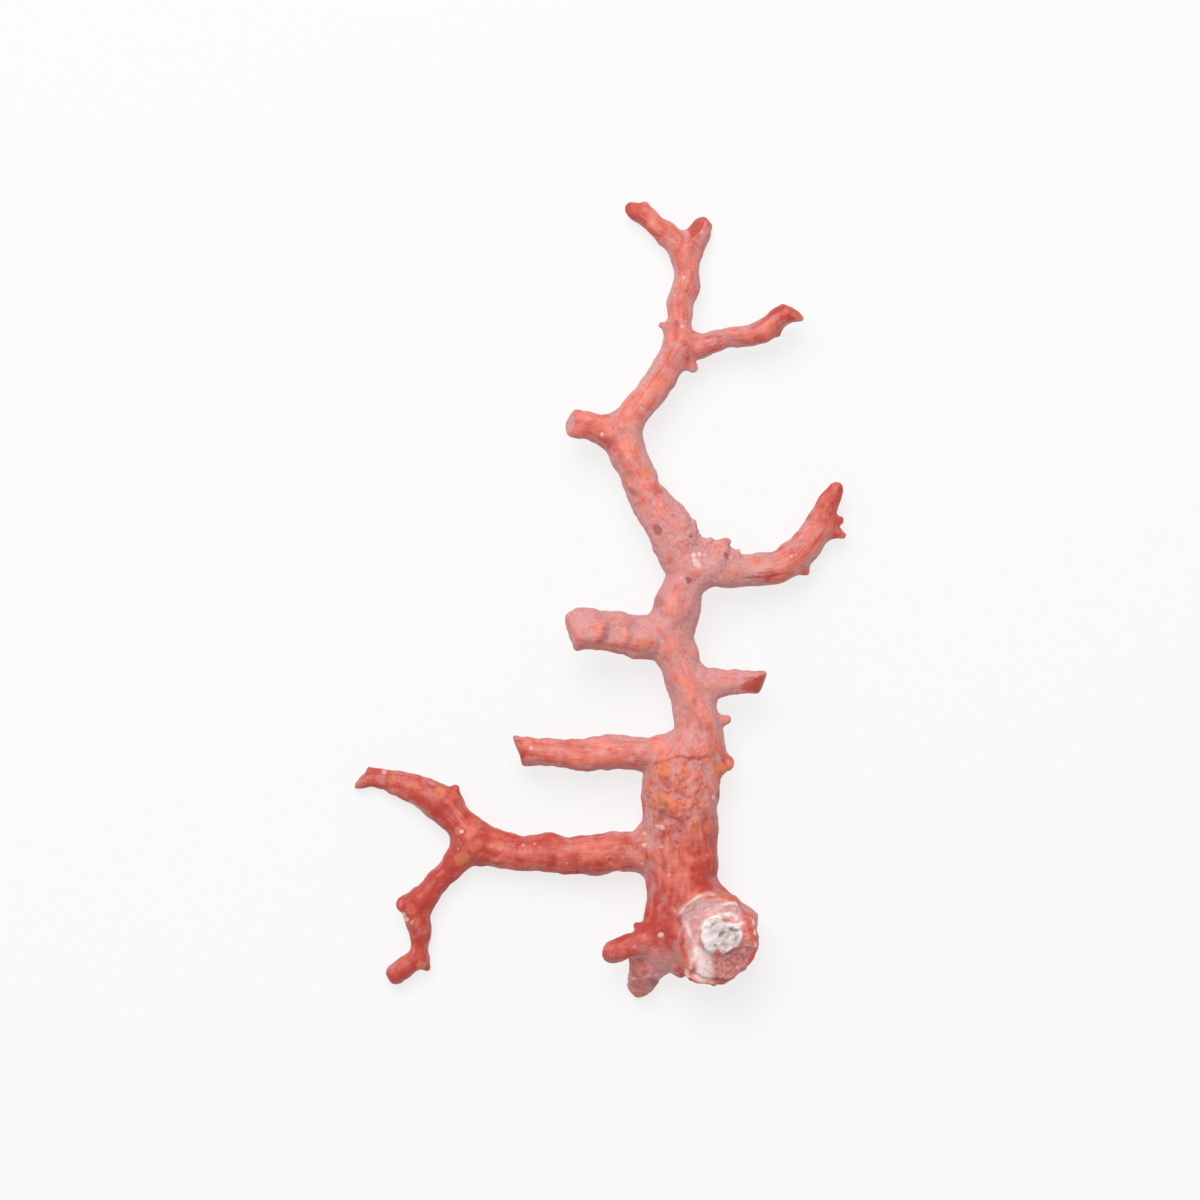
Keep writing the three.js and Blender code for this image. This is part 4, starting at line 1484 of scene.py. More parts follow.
@dataclass
class Foot(SubAssembly):
    """The foot: its broken collar in layers, the heel, the short finger and the stub."""

    collar: Limb = Limb(
        ((16.2, -50.2, 6.5, 5.3), (18.6, -53.6, 9.5, 6.3), (18.8, -54.2, 14.5, 6.1)),
        1.5,
        (Break((18.5, -54.2, 12.2), (0.1, 0.05, 1)),),
    )
    collar_skirt: Limb = Limb(
        ((17.9, -55.9, 7.5, 5.3), (18.3, -56.3, 12.5, 4.9)),
        0.7,
        (Break((20.5, -59.0, 10.2), (0.35, -0.6, 0.72)), Break((18.3, -56.3, 11.4), (0.08, -0.08, 1))),
    )
    heel: Limb = Limb(((16.0, -50.4, 5.5, 5.1), (19.5, -52.4, 5.1, 5.25)), 1.5)
    finger: Limb = Limb(((10.4, -54.1, 7.0, 3.5), (6.4, -54.9, 7.8, 2.3), (2.4, -56.0, 8.0, 2.0)), 1.0)
    stub: Limb = Limb(((10.9, -55.2, 5.5, 4.2), (7.7, -58.6, 3.8, 3.1), (6.6, -61.6, 2.7, 2.2)), 1.5)
    knobs: tuple[Knob, ...] = (Knob((6.8, -53.0, 6.8), 1.3, (-1.0, 0.9, 0.0)), Knob((13.0, -58.6, 6.5), 1.7))
    slabs: tuple[Slab, ...] = (
        Slab(COLLAR_LAYER, (18.5, -54.0, 12.0), (0.08, -0.08, 1), 4.0),
        Slab(RAISED_LAYER, (20.0, -52.5, 12.9), (0.1, 0.05, 1), 9.0),
        Slab(CHALK_BREAK, (19.3, -53.2, 14.25), (0.25, -0.28, 1), 9.0, 0.9, 0.6),
        Slab(BRICK_FACET, (20.8, -58.0, 11.8), (0.25, -0.42, 1), 4.0),
    )
    patches: tuple[Patch, ...] = (
        Patch(Trait.FILM, BANDED_RIM, 1.2, 0.2, 0.0, 0.85),
        Patch(Trait.BRICK, INNER_BAND, 1.0, 0.3, 0.0, 0.9),
        Patch(Trait.CHALK, CHALK_BREAK, 1.0, 0.3),
        Patch(Trait.CRUST, CHALK_BREAK, 0.6, 0.3),
        Patch(Trait.CHALK, COLLAR_FACE, 0.3, 0.4),
        Patch(Trait.CHALK, INNER_RIM, 0.35, 0.5),
        Patch(Trait.FILM, INNER_RIM, 0.9, 0.5),
        Patch(Trait.CHALK, PALE_CORNER, 0.7, 0.6),
        Patch(Trait.BRICK, BRICK_STAIN, 1.3, 0.2),
        Patch(Trait.RED, SIDE_BLOCK, 0.8, 0.25),
    )
    ledges: tuple[Ledge, ...] = (
        Ledge(
            ((12.6, -50.5), (13.1, -49.2), (14.4, -48.0), (15.7, -47.2), (17.2, -46.8), (18.7, -46.9)),
            0.0, 1.0, 0.26, 0.16,
        ),
        Ledge(
            ((16.5, -50.5), (17.6, -49.6), (18.8, -48.9), (19.7, -48.4), (21.0, -48.2), (22.2, -48.5)),
            0.0, 1.0, 0.2, 0.1,
        ),
        Ledge(((18.5, -50.1), (20.2, -50.0), (21.2, -50.2), (21.8, -51.0)), 0.0, 0.8, 0.28, 0.1, Trait.CHALK),
        Ledge(((19.3, -51.2), (20.7, -51.8), (22.0, -51.7), (23.4, -51.3)), 0.0, 0.8, 0.28, 0.1, Trait.CHALK),
        Ledge(((16.2, -52.6), (16.9, -51.4), (18.4, -50.4)), 0.0, 0.8, 0.45, 0.05, Trait.CHALK),
        Ledge(((13.6, -51.2), (14.2, -53.0), (14.9, -54.8), (15.0, -56.4)), 0.0, 1.0, 0.3, 0.12),
        Ledge(((14.7, -56.6), (14.3, -58.0), (13.7, -59.2), (14.2, -60.4)), 0.0, 1.0, 0.4, 0.05),
    )
    marks: tuple[Marks, ...] = (
        Marks(Trait.CREAM, (
            (24.4, -51.1, 0.22, 0.8, 2.0, -70), (24.6, -52.8, 0.22, 0.9, 2.6, -85),
            (24.7, -54.7, 0.22, 0.8, 2.5, -85), (9.7, -53.3, 0.4, 1.0, 1.3, 20), (11.0, -43.7, 0.3, 0.4),
            (6.4, -60.9, 0.3, 0.6, 5.0, -12), (9.0, -60.1, 0.5, 0.35),
        )),
        Marks(Trait.ORANGE, (
            (7.1, -54.1, 0.9, 0.6, 1.5, -30), (6.1, -58.7, 0.8, 0.7, 1.3, 0),
            (19.0, -47.2, 0.8, 0.9, 1.8, -25), (15.7, -51.3, 0.7, 0.8, 1.4, 80),
            (13.3, -56.5, 1.0, 0.9, 3.0, 95),
        )),
        Marks(Trait.BRICK, ((7.0, -62.0, 1.4, 1.2, 2.0, 0), (15.0, -49.4, 1.0, 0.4, 1.8, 45))),
        Marks(Trait.DARK, (
            (20.1, -50.8, 0.3, 0.7, 2.6, -12), (21.4, -52.3, 0.45, 1.0, 2.2, -12), (18.3, -54.8, 0.3, 0.8),
            (20.2, -53.4, 1.7, 0.35, 1.3, -15), (19.4, -53.0, 0.45, 0.7, 1.6, 50),
            (19.9, -54.9, 0.4, 0.6, 2.0, -30), (21.8, -53.6, 0.35, 0.7, 1.8, 60),
            (18.0, -51.6, 0.3, 0.5, 2.0, 60), (20.8, -58.1, 0.18, 0.6, 7.0, 4),
            (14.2, -60.6, 0.5, 0.9, 1.6, -20), (6.0, -61.6, 0.9, 0.5, 1.3, 30),
            (8.6, -61.2, 0.6, 0.6, 1.6, -40), (7.2, -59.8, 0.5, 0.5, 1.4, 20),
        )),
        Marks(Trait.CRUST, ((20.0, -55.0, 6.0, 0.6), (21.0, -58.0, 3.4, 0.5), (7.4, -61.0, 3.2, 0.9))),
        Marks(Trait.FILM, (
            (8.6, -58.0, 4.6, 1.1, 1.2, 60), (11.5, -48.5, 4.0, 0.35), (24.2, -52.6, 2.0, 0.6, 2.0, 90),
            (13.2, -53.4, 1.6, 0.5, 2.4, 95),
        )),
        Marks(Trait.RED, (
            (7.4, -60.4, 3.4, 0.7), (9.5, -50.5, 7.0, 0.7), (3.0, -55.8, 5.0, 0.8, 1.5, 15),
            (11.4, -55.0, 2.6, 0.6, 2.2, 100), (20.0, -45.5, 3.4, 0.6, 2.2, -30),
        )),
        Marks(Trait.STREAK, ((10, -55, 9, -0.6),)),
    )
    pieces: tuple[Piece, ...] = (Piece("foot", Slot.FOOT, (18.8, -53.0, 8.0)),)


@dataclass
class LowFork(SubAssembly):
    """The low left stem and its two arms."""

    stem: Limb = Limb(
        (
            (11.5, -40.3, 6.0, 3.2), (7.2, -40.3, 5.7, 3.2), (3.2, -40.3, 5.3, 3.1),
            (-0.3, -40.8, 5.0, 3.2), (-4.8, -41.0, 4.6, 3.0), (-9.6, -40.6, 4.2, 2.9),
            (-13.1, -40.6, 3.9, 2.8), (-16.8, -39.8, 3.6, 3.0), (-20.2, -38.6, 3.3, 2.9),
        ),
        3.5,
    )
    upper_arm: Limb = Limb(
        (
            (-20.2, -38.6, 3.3, 2.9), (-23.0, -35.2, 3.3, 2.6), (-25.8, -32.5, 3.3, 2.8),
            (-29.0, -30.7, 3.0, 2.5), (-32.2, -29.6, 2.4, 2.0), (-35.2, -28.8, 1.9, 1.6),
            (-39.5, -28.5, 1.6, 1.85),
        ),
        2.0,
        (Break((-38.2, -28.3, 1.7), (-0.83, 0.53, 0.15)),),
    )
    lower_arm: Limb = Limb(
        (
            (-20.8, -39.7, 3.3, 2.6), (-23.2, -42.1, 3.3, 2.1), (-25.4, -44.5, 3.3, 1.8),
            (-27.5, -47.0, 3.2, 1.8), (-29.2, -50.0, 3.1, 2.3), (-28.9, -53.1, 2.9, 2.0),
            (-29.0, -55.5, 2.7, 1.5), (-29.6, -57.6, 2.5, 1.7), (-32.7, -59.8, 2.5, 1.75),
        ),
        1.6,
    )
    knobs: tuple[Knob, ...] = (
        Knob((-23.6, -32.2, 3.4), 1.5, (0.3, 1.9, 0.1), 0.6),
        Knob((-29.4, -48.4, 3.3), 2.2, (-2.3, -0.4, 0.0), 0.55),
        Knob((-28.6, -58.2, 2.5), 1.3, (0.7, -1.0, 0.0), 0.6),
        Knob((-7.8, -39.9, 4.4), 2.6),
    )
    cuts: tuple[SawCut, ...] = (
        SawCut((4.8, -40.2, 5.4), (-1, 0, -0.08), 4.4),
        SawCut((-22.1, -36.4, 3.2), (-0.65, 0.77, -0.05), 3.4),
        SawCut((-23.0, -41.8, 3.3), (-0.69, -0.72, 0), 3.0),
    )
    marks: tuple[Marks, ...] = (
        Marks(Trait.RED, ((-8, -40.5, 14, 0.6, 1.5, 0), (-30, -31, 15, 0.85), (-28, -54, 16, 1.0))),
        Marks(Trait.FILM, ((5.0, -40.5, 6, 0.45, 1.0, 0), (-29, -32.5, 6, 0.35))),
        Marks(Trait.ORANGE, (
            (-33.4, -28.8, 0.8, 0.9, 1.3, 80), (-28.6, -29.5, 0.8, 0.45, 1.4, 20),
            (-25.7, -31.0, 1.0, 0.6, 1.2, -10), (-22.9, -37.1, 0.8, 0.8),
            (-22.0, -41.3, 1.2, 1.0, 1.15, 20), (-16.8, -39.5, 1.0, 0.6, 1.6, 0), (-7.2, -38.9, 0.8, 0.6),
            (-15.0, -42.8, 0.7, 0.5, 2.4, -10), (2.6, -42.8, 0.6, 0.5, 1.8, 0), (-25.4, -45.2, 0.7, 0.35),
            (-30.3, -49.6, 0.9, 0.8), (-28.2, -53.0, 0.7, 0.7, 1.5, 80), (-28.6, -58.7, 0.9, 0.7),
            (-31.8, -58.4, 0.9, 0.6, 1.4, 20),
        )),
        Marks(Trait.CREAM, (
            (-22.1, -37.1, 0.3, 1.0), (-31.5, -50.4, 0.45, 0.9), (-31.1, -51.2, 0.4, 0.8, 1.4, 0),
            (-12.3, -39.2, 0.25, 0.5), (-34.7, -27.6, 0.4, 0.6),
        )),
        Marks(Trait.DARK, (
            (1.6, -41.5, 0.28, 0.7, 1.6, 80), (-3.6, -43.4, 0.3, 0.6), (-22.9, -38.9, 0.4, 0.4),
        )),
    )
    pieces: tuple[Piece, ...] = (
        Piece("low_left_stem", Slot.RED, (-9.6, -40.6, 4.2)),
        Piece("low_left_upper_arm", Slot.RED, (-29.0, -30.7, 3.0)),
        Piece("low_left_lower_arm", Slot.RED, (-28.9, -53.1, 2.9)),
    )


@dataclass
class SideBranches(SubAssembly):
    """The four branches on the sides of the trunk."""

    straight_left: Limb = Limb(
        (
            (14.4, -24.5, 6.8, 3.2), (9.6, -24.5, 6.9, 3.0), (6.4, -24.5, 7.0, 2.8), (2.4, -24.3, 7.0, 2.7),
            (-2.4, -24.6, 6.9, 2.6), (-6.1, -24.6, 6.7, 2.2), (-9.3, -24.3, 6.5, 2.2),
            (-15.0, -24.0, 6.3, 2.6),
        ),
        1.0,
        (Break((-13.3, -24.0, 6.3), (-0.95, -0.3, 0.1)),),
    )
    short_right: Limb = Limb(
        (
            (14.4, -14.1, 7.5, 2.9), (17.9, -13.4, 7.9, 2.5), (20.8, -13.2, 8.2, 2.0),
            (23.2, -13.1, 8.4, 1.8), (26.8, -13.1, 8.6, 1.8),
        ),
        1.6,
        (
            Break((26.1, -13.0, 8.6), (0.88, -0.38, 0.2), Trait.BROKEN, 1.0, 0.8),
            Break((24.4, -13.9, 9.5), (0.35, -0.4, 0.84), Trait.BROKEN, 1.0, 0.6),
        ),
    )
    thick_left: Limb = Limb(
        (
            (10.3, -6.3, 8.2, 2.9), (7.2, -6.1, 8.6, 3.5), (3.2, -5.4, 9.6, 3.3), (0.0, -4.8, 10.6, 3.1),
            (-2.7, -4.6, 11.4, 3.4),
        ),
        2.0,
        (
            Break((-5.4, -4.4, 11.6), (-0.9, -0.3, 0.3), Trait.FILM, 0.5, 1.5),
            Break((-2.4, -3.4, 13.7), (-0.25, 0.25, 0.93), Trait.FILM, 1.1, 0.9),
        ),
    )
    long_right: Limb = Limb(
        (
            (14.4, 5.3, 8.0, 3.2), (17.9, 5.4, 7.8, 3.4), (21.1, 4.8, 7.2, 2.8), (24.0, 4.6, 6.6, 2.5),
            (27.5, 5.0, 5.9, 2.6), (30.4, 6.2, 5.3, 2.6), (32.8, 8.5, 4.8, 2.5), (34.7, 11.1, 4.3, 2.5),
            (35.9, 13.9, 4.0, 2.0), (36.8, 15.8, 3.8, 1.6), (37.9, 17.8, 3.7, 1.25),
        ),
        2.0,
    )
    knobs: tuple[Knob, ...] = (
        Knob((-3.1, -6.9, 10.9), 1.3, (-0.3, -0.7, 0.0), 0.5),
        Knob((36.9, 10.9, 4.3), 1.3, (1.9, -0.6, 0.0), 0.5),
        Knob((37.0, 12.8, 4.1), 1.0, (1.4, 0.0, 0.0), 0.5),
        Knob((32.2, 5.9, 5.2), 1.2, (0.8, -1.4, 0.0), 0.6),
        Knob((19.2, 8.2, 8.3), 1.5, (0.9, 1.1, 0.3), 0.5),
        Knob((21.4, 6.9, 8.0), 1.2, (0.8, 1.2, 0.1), 0.6),
        Knob((17.0, 8.2, 8.6), 1.7, (0.4, 0.8, 0.2), 0.4),
    )
    cuts: tuple[SawCut, ...] = (
        SawCut((5.4, -24.4, 7.0), (-1, 0, 0), 3.5),
        SawCut((19.5, -13.4, 8.0), (1, 0.05, 0.1), 3.0),
        SawCut((7.4, -5.8, 8.7), (-1, 0.05, 0.2), 5.2),
        SawCut((18.6, 5.4, 7.7), (1, -0.05, -0.15), 4.9),
    )
    marks: tuple[Marks, ...] = (
        Marks(Trait.RED, (
            (34.5, 10.5, 9.0, 0.35, 1.4, 60), (37.4, 16.6, 4.0, 0.6), (25.0, -13.5, 1.8, 0.9),
            (-12.6, -24.2, 1.8, 0.9), (27.0, 3.6, 1.0, 0.9, 4.0, 5),
        )),
        Marks(Trait.FILM, (
            (-3.0, -24.6, 12.0, 0.5, 1.3, 0), (1.0, -5.0, 10.0, 0.85), (21.0, 5.5, 8.0, 0.8),
            (33.0, 9.0, 7.0, 0.65), (20.5, -13.4, 6.0, 0.75), (2.0, -5.4, 2.0, 0.7), (6.2, -4.9, 2.0, 0.7),
        )),
        Marks(Trait.CRUST, ((1.0, -5.2, 8.0, 0.55),)),
        Marks(Trait.DARK, (
            (24.4, 3.5, 0.2, 0.6, 8.0, 3), (28.3, 4.0, 0.2, 0.5, 8.0, 12), (26.6, 4.4, 0.16, 0.4, 8.0, 8),
            (20.3, 7.0, 0.45, 0.7, 1.3, -40), (0.7, -6.2, 0.8, 0.3, 1.6, 10),
        )),
        Marks(Trait.ORANGE, (
            (-2.4, -7.6, 0.7, 0.8, 1.3, 0), (21.0, 4.4, 0.7, 0.5, 2.2, 25), (18.2, -13.8, 0.8, 0.6),
            (1.6, -7.4, 1.0, 0.5, 2.4, 0), (6.6, -6.6, 0.9, 0.4, 1.6, -20),
        )),
        Marks(Trait.CREAM, ((30.6, 7.0, 0.25, 0.7), (-11.0, -23.6, 0.3, 0.7))),
        Marks(Trait.LUMP, (
            (2.0, -5.0, 1.4, -1.3, 1.3, 70), (5.6, -4.4, 1.3, -1.2, 1.2, 60),
            (0.2, -5.2, 1.2, 1.0, 1.8, 80), (3.9, -5.6, 1.1, 1.0, 1.8, 75), (7.2, -6.4, 1.2, 0.9, 1.4, 80),
            (-3.6, -6.8, 1.1, 0.7, 1.4, 80),
        )),
    )
    pieces: tuple[Piece, ...] = (
        Piece("straight_left_branch", Slot.RED, (-6.1, -24.6, 6.7)),
        Piece("short_right_twig", Slot.SALMON, (23.2, -13.1, 8.4)),
        Piece("thick_left_branch", Slot.SALMON, (1.0, -5.0, 10.3)),
        Piece("long_right_branch", Slot.SALMON, (30.4, 6.2, 5.3)),
    )


@dataclass
class Crown(SubAssembly):
    """The stub, the branch and the two tips at the top."""

    top_left_stub: Limb = Limb(
        ((3.0, 26.9, 7.0, 2.3), (0.8, 27.0, 7.3, 2.3), (-1.9, 27.7, 7.8, 2.2), (-6.0, 28.5, 8.5, 2.1)),
        2.0,
        (Break((-4.8, 28.3, 8.3), (-0.92, 0.17, 0.35), Trait.FILM, 0.6, 0.8),),
    )
    top_right: Limb = Limb(
        (
            (13.1, 40.6, 5.3, 2.2), (16.3, 40.8, 5.2, 2.1), (19.2, 41.6, 5.4, 1.7), (22.4, 42.2, 5.7, 1.6),
            (25.0, 42.6, 6.0, 1.7), (27.0, 43.7, 6.3, 1.8), (28.8, 45.3, 6.6, 1.6), (31.4, 46.6, 6.8, 1.5),
        ),
        1.2,
        (Break((30.4, 46.4, 6.8), (0.62, 0.74, 0.25)),),
    )
    crown_left: Limb = Limb(
        (
            (13.4, 56.5, 2.9, 2.2), (11.5, 58.1, 2.8, 2.0), (9.0, 60.0, 2.6, 1.55), (7.5, 61.6, 2.4, 1.6),
            (5.9, 62.4, 2.2, 1.3), (5.0, 63.0, 2.1, 0.9),
        ),
        1.2,
    )
    crown_right: Limb = Limb(
        ((14.2, 56.5, 2.8, 2.3), (15.5, 58.4, 2.3, 2.1), (16.3, 60.0, 1.6, 1.65)),
        1.2,
        (Break((15.2, 59.4, 3.2), (-0.45, 0.72, 0.53)),),
    )
    knobs: tuple[Knob, ...] = (
        Knob((28.1, 43.6, 6.3), 0.9, (0.5, -1.2, 0.0)),
        Knob((30.2, 45.6, 6.8), 1.0, (2.0, -0.7, 0.0)),
        Knob((7.5, 62.6, 2.6), 0.9, (0.0, 0.9, 0.0)),
        Knob((17.0, 60.2, 1.7), 0.8, (0.9, 0.1, 0.0)),
    )
    cuts: tuple[SawCut, ...] = (
        SawCut((0.2, 27.0, 7.3), (-1, 0.1, 0.12), 3.2),
        SawCut((17.0, 41.0, 5.3), (0.98, 0.17, 0.05), 3.0),
        SawCut((11.2, 58.3, 2.8), (-0.74, 0.67, -0.08), 2.7),
        SawCut((15.2, 58.2, 2.5), (0.55, 0.83, -0.25), 3.5),
    )
    marks: tuple[Marks, ...] = (
        Marks(Trait.RED, (
            (5.4, 62.6, 2.6, 0.9), (9.8, 59.4, 1.6, 0.6, 1.5, -45), (29.5, 45.6, 2.4, 0.8),
            (1.4, 24.6, 1.4, 0.8, 1.8, -40), (24.0, 42.4, 9.0, 0.4, 1.4, 10),
        )),
        Marks(Trait.BROKEN, ((15.4, 59.8, 0.95, 1.1, 1.6, 45),)),
        Marks(Trait.DARK, ((15.4, 59.8, 0.6, 0.4, 1.6, 45),)),
        Marks(Trait.FILM, ((22.0, 42.0, 9.0, 0.45), (13.2, 57.9, 3.0, 0.4), (8.0, 61.6, 2.4, 0.4))),
        Marks(Trait.CREAM, ((16.4, 59.0, 0.35, 0.5),)),
    )
    pieces: tuple[Piece, ...] = (
        Piece("top_left_stub", Slot.SALMON, (-1.9, 27.7, 7.8)),
        Piece("top_right_branch", Slot.SALMON, (22.4, 42.2, 5.7)),
        Piece("crown_left_twig", Slot.RED, (7.5, 61.6, 2.4)),
        Piece("crown_right_stub", Slot.RED, (16.2, 59.6, 1.7)),
    )


class PartedSkin:
    """The skin, cut at the forks and sorted into its pieces."""

    def __init__(self, skin: Skin, cuts: list[SawCut]) -> None:
        """Cuts the skin and finds which faces hang together.

        Args:
            skin: The weathered skin.
            cuts: Where it is cut.
        """
        mesh = self._whole(skin)
        self._saw(mesh, cuts)
        self._read(mesh, skin)
        self._sort()
        bpy.data.meshes.remove(mesh)

    @staticmethod
    def _whole(skin: Skin) -> bpy.types.Mesh:
        """The whole skin as one mesh, with its channels.

        Args:
            skin: The skin.

        Returns:
            The mesh, in millimetres.
        """
        corners = skin.quads.ravel()
        mesh = build_mesh("whole skin", skin.points, corners, np.arange(0, len(corners), 4))
        for name, values in skin.traits.items():
            put(mesh, name, values)
        put(mesh, "fibre", skin.fibre)
        return mesh

    @staticmethod
    def _saw(mesh: bpy.types.Mesh, cuts: list[SawCut]) -> None:
        """Cuts the mesh's faces along each plane, and marks the edges on it as seams.

        Args:
            mesh: The whole skin.
            cuts: The planes.
        """
        shape = bmesh.new()
        shape.from_mesh(mesh)
        shape.faces.ensure_lookup_table()
        middles = np.zeros(len(mesh.polygons) * 3)
        mesh.polygons.foreach_get("center", middles)
        middles = middles.reshape(-1, 3)
        near = []
        for cut in cuts:
            away = np.linalg.norm(middles - PLACE.to_frame(cut.at), axis=1)
            near.append([shape.faces[i] for i in np.nonzero(away < cut.reach)[0]])
        fresh: set[bmesh.types.BMFace] = set()
        for cut, faces in zip(cuts, near):
            at = Vector(PLACE.to_frame(cut.at))
            fresh = {face for face in fresh if face.is_valid}
            faces = {*faces, *(face for face in fresh if (face.calc_center_median() - at).length < cut.reach)}
            edges = {edge for face in faces for edge in face.edges}
            corners = {vert for face in faces for vert in face.verts}
            made = bmesh.ops.bisect_plane(
                shape, geom=[*faces, *edges, *corners], dist=1e-5, plane_co=at, plane_no=cut.along
            )
            fresh.update(part for part in made["geom"] if isinstance(part, bmesh.types.BMFace))
            for edge in made["geom_cut"]:
                if isinstance(edge, bmesh.types.BMEdge):
                    edge.seam = True
        shape.to_mesh(mesh)
        shape.free()

    def _read(self, mesh: bpy.types.Mesh, skin: Skin) -> None:
        """Reads the cut mesh back into arrays.

        Args:
            mesh: The cut mesh.
            skin: The skin that it was made from, for the names of its channels.
        """
        self.points = get(mesh.vertices, "co", 3, len(mesh.vertices))
        self.normals = get(mesh.vertices, "normal", 3, len(mesh.vertices))
        self.corners = get(mesh.loops, "vertex_index", 1, len(mesh.loops), int)
        self.corner_edges = get(mesh.loops, "edge_index", 1, len(mesh.loops), int)
        self.starts = get(mesh.polygons, "loop_start", 1, len(mesh.polygons), int)
        self.seams = get(mesh.edges, "use_seam", 1, len(mesh.edges), bool)
        self.traits = {
            name: get(mesh.attributes[name].data, "value", 1, len(mesh.vertices)) for name in skin.traits
        }
        self.fibre = get(mesh.attributes["fibre"].data, "vector", 3, len(mesh.vertices))
        counts = np.diff(np.append(self.starts, len(self.corners)))
        self.corner_faces = np.repeat(np.arange(len(self.starts)), counts)

    def _sort(self) -> None:
        """Gives every face the number of the piece that it hangs together with."""
        order = np.argsort(self.corner_edges, kind="stable")
        edges = self.corner_edges[order]
        pair = np.nonzero((edges[1:] == edges[:-1]) & ~self.seams[edges[1:]])[0]
        one, two = self.corner_faces[order[pair]], self.corner_faces[order[pair + 1]]
        labels = np.arange(len(self.starts))
        while True:
            low = np.minimum(labels[one], labels[two])
            fresh = labels.copy()
            np.minimum.at(fresh, labels[one], low)
            np.minimum.at(fresh, labels[two], low)
            fresh = fresh[fresh]
            if (fresh == labels).all():
                break
            labels = fresh
        self.labels = labels

    def piece(self, piece: Piece) -> bpy.types.Object:
        """Makes the object of one piece, closed at its cuts.

        Args:
            piece: Which piece.

        Returns:
            The object.
        """
        heart = PLACE.to_frame(piece.heart)
        nearest = np.linalg.norm(self.points - heart, axis=1).argmin()
        label = self.labels[self.corner_faces[np.nonzero(self.corners == nearest)[0][0]]]
        mine = self.labels[self.corner_faces] == label
        corners = self.corners[mine]
        faces = self.corner_faces[mine]
        used, corners = np.unique(corners, return_inverse=True)
        starts = np.concatenate([[0], np.nonzero(np.diff(faces))[0] + 1])
        caps = self._caps(mine, corners, starts)
        for cap in caps:
            starts = np.append(starts, len(corners))
            corners = np.append(corners, cap)
        mesh = build_mesh(f"{piece.node}_skin", self.points[used] * MM, corners, starts)
        for name, values in self.traits.items():
            put(mesh, name, values[used])
        put(mesh, "fibre", self.fibre[used])
        flat = np.zeros(len(starts), bool)
        flat[: len(starts) - len(caps)] = True
        mesh.polygons.foreach_set("use_smooth", flat)
        mesh.normals_split_custom_set_from_vertices(self.normals[used])
        made = bpy.data.objects.new(mesh.name, mesh)
        bpy.context.scene.collection.objects.link(made)
        log.info("%s: %d faces, %d cuts closed", made.name, len(mesh.polygons), len(caps))
        return made

    def _caps(self, mine: np.ndarray, corners: np.ndarray, starts: np.ndarray) -> list[list[int]]:
        """The flat faces that close a piece at its cuts.

        Args:
            mine: Which corners are the piece's.
            corners: The piece's own corner numbers.
            starts: Where each of its faces starts.

        Returns:
            The corners of each closing face.
        """
        ends = np.append(starts[1:], len(corners)) - 1
        following = np.arange(1, len(corners) + 1)
        following[ends] = starts
        edges = self.corner_edges[mine]
        counts = np.bincount(edges, minlength=len(self.seams))
        open_corners = np.nonzero(counts[edges] == 1)[0]
        after: dict[int, list[int]] = {}
        for i in open_corners:
            after.setdefault(int(corners[following[i]]), []).append(int(corners[i]))
        caps = []
        while after:
            first = here = next(iter(after))
            ring = []
            while here in after:
                ring.append(here)
                onward = after[here].pop()
                if not after[here]:
                    del after[here]
                here = onward
                if here == first:
                    break
            if len(ring) > 2:
                caps.append(ring)
        return caps


SCATTERS = (
    Scatter(((Trait.ORANGE, 0.35),), 60, (0.5, 1.1)),
    Scatter(((Trait.CREAM, 0.5),), 140, (0.15, 0.3)),
    Scatter(((Trait.DARK, 0.3),), 120, (0.15, 0.4)),
    Scatter(((Trait.LUMP, 0.3), (Trait.FILM, -0.4)), 90, (0.6, 1.3)),
    Scatter(((Trait.LUMP, 0.4), (Trait.ORANGE, 0.3), (Trait.FILM, -0.35)), 95, (0.3, 0.75), SCAR),
    Scatter(((Trait.DARK, 0.4), (Trait.ORANGE, -0.3)), 60, (0.2, 0.5), SCAR),
)


def get(rows: Any, name: str, width: int, count: int, kind: type = float) -> np.ndarray:
    """Reads a property of many rows.

    Args:
        rows: Blender's collection.
        name: The property.
        width: How many numbers a row has.
        count: How many rows there are.
        kind: What the numbers are.

    Returns:
        The numbers, in rows where the width is over one.
    """
    values = np.zeros(count * width, kind)
    rows.foreach_get(name, values)
    return values.reshape(-1, width) if width > 1 else values


def put(mesh: bpy.types.Mesh, name: str, values: np.ndarray) -> None:
    """Stores one number or one vector for each point of a mesh.

    Args:
        mesh: The mesh.
        name: The channel's name.
        values: One row for each point.
    """
    if values.ndim > 1:
        mesh.attributes.new(name, "FLOAT_VECTOR", "POINT").data.foreach_set("vector", values.ravel())
    else:
        mesh.attributes.new(name, "FLOAT", "POINT").data.foreach_set("value", values)


def build_mesh(name: str, points: np.ndarray, corners: np.ndarray, starts: np.ndarray) -> bpy.types.Mesh:
    """Makes a mesh.

    Args:
        name: Its name.
        points: Its points.
        corners: The points of its faces, one face after another.
        starts: Where each face starts in the corners.

    Returns:
        The mesh.
    """
    mesh = bpy.data.meshes.new(name)
    mesh.vertices.add(len(points))
    mesh.vertices.foreach_set("co", points.ravel())
    mesh.loops.add(len(corners))
    mesh.loops.foreach_set("vertex_index", corners)
    mesh.polygons.add(len(starts))
    mesh.polygons.foreach_set("loop_start", starts)
    mesh.update(calc_edges=True)
    return mesh


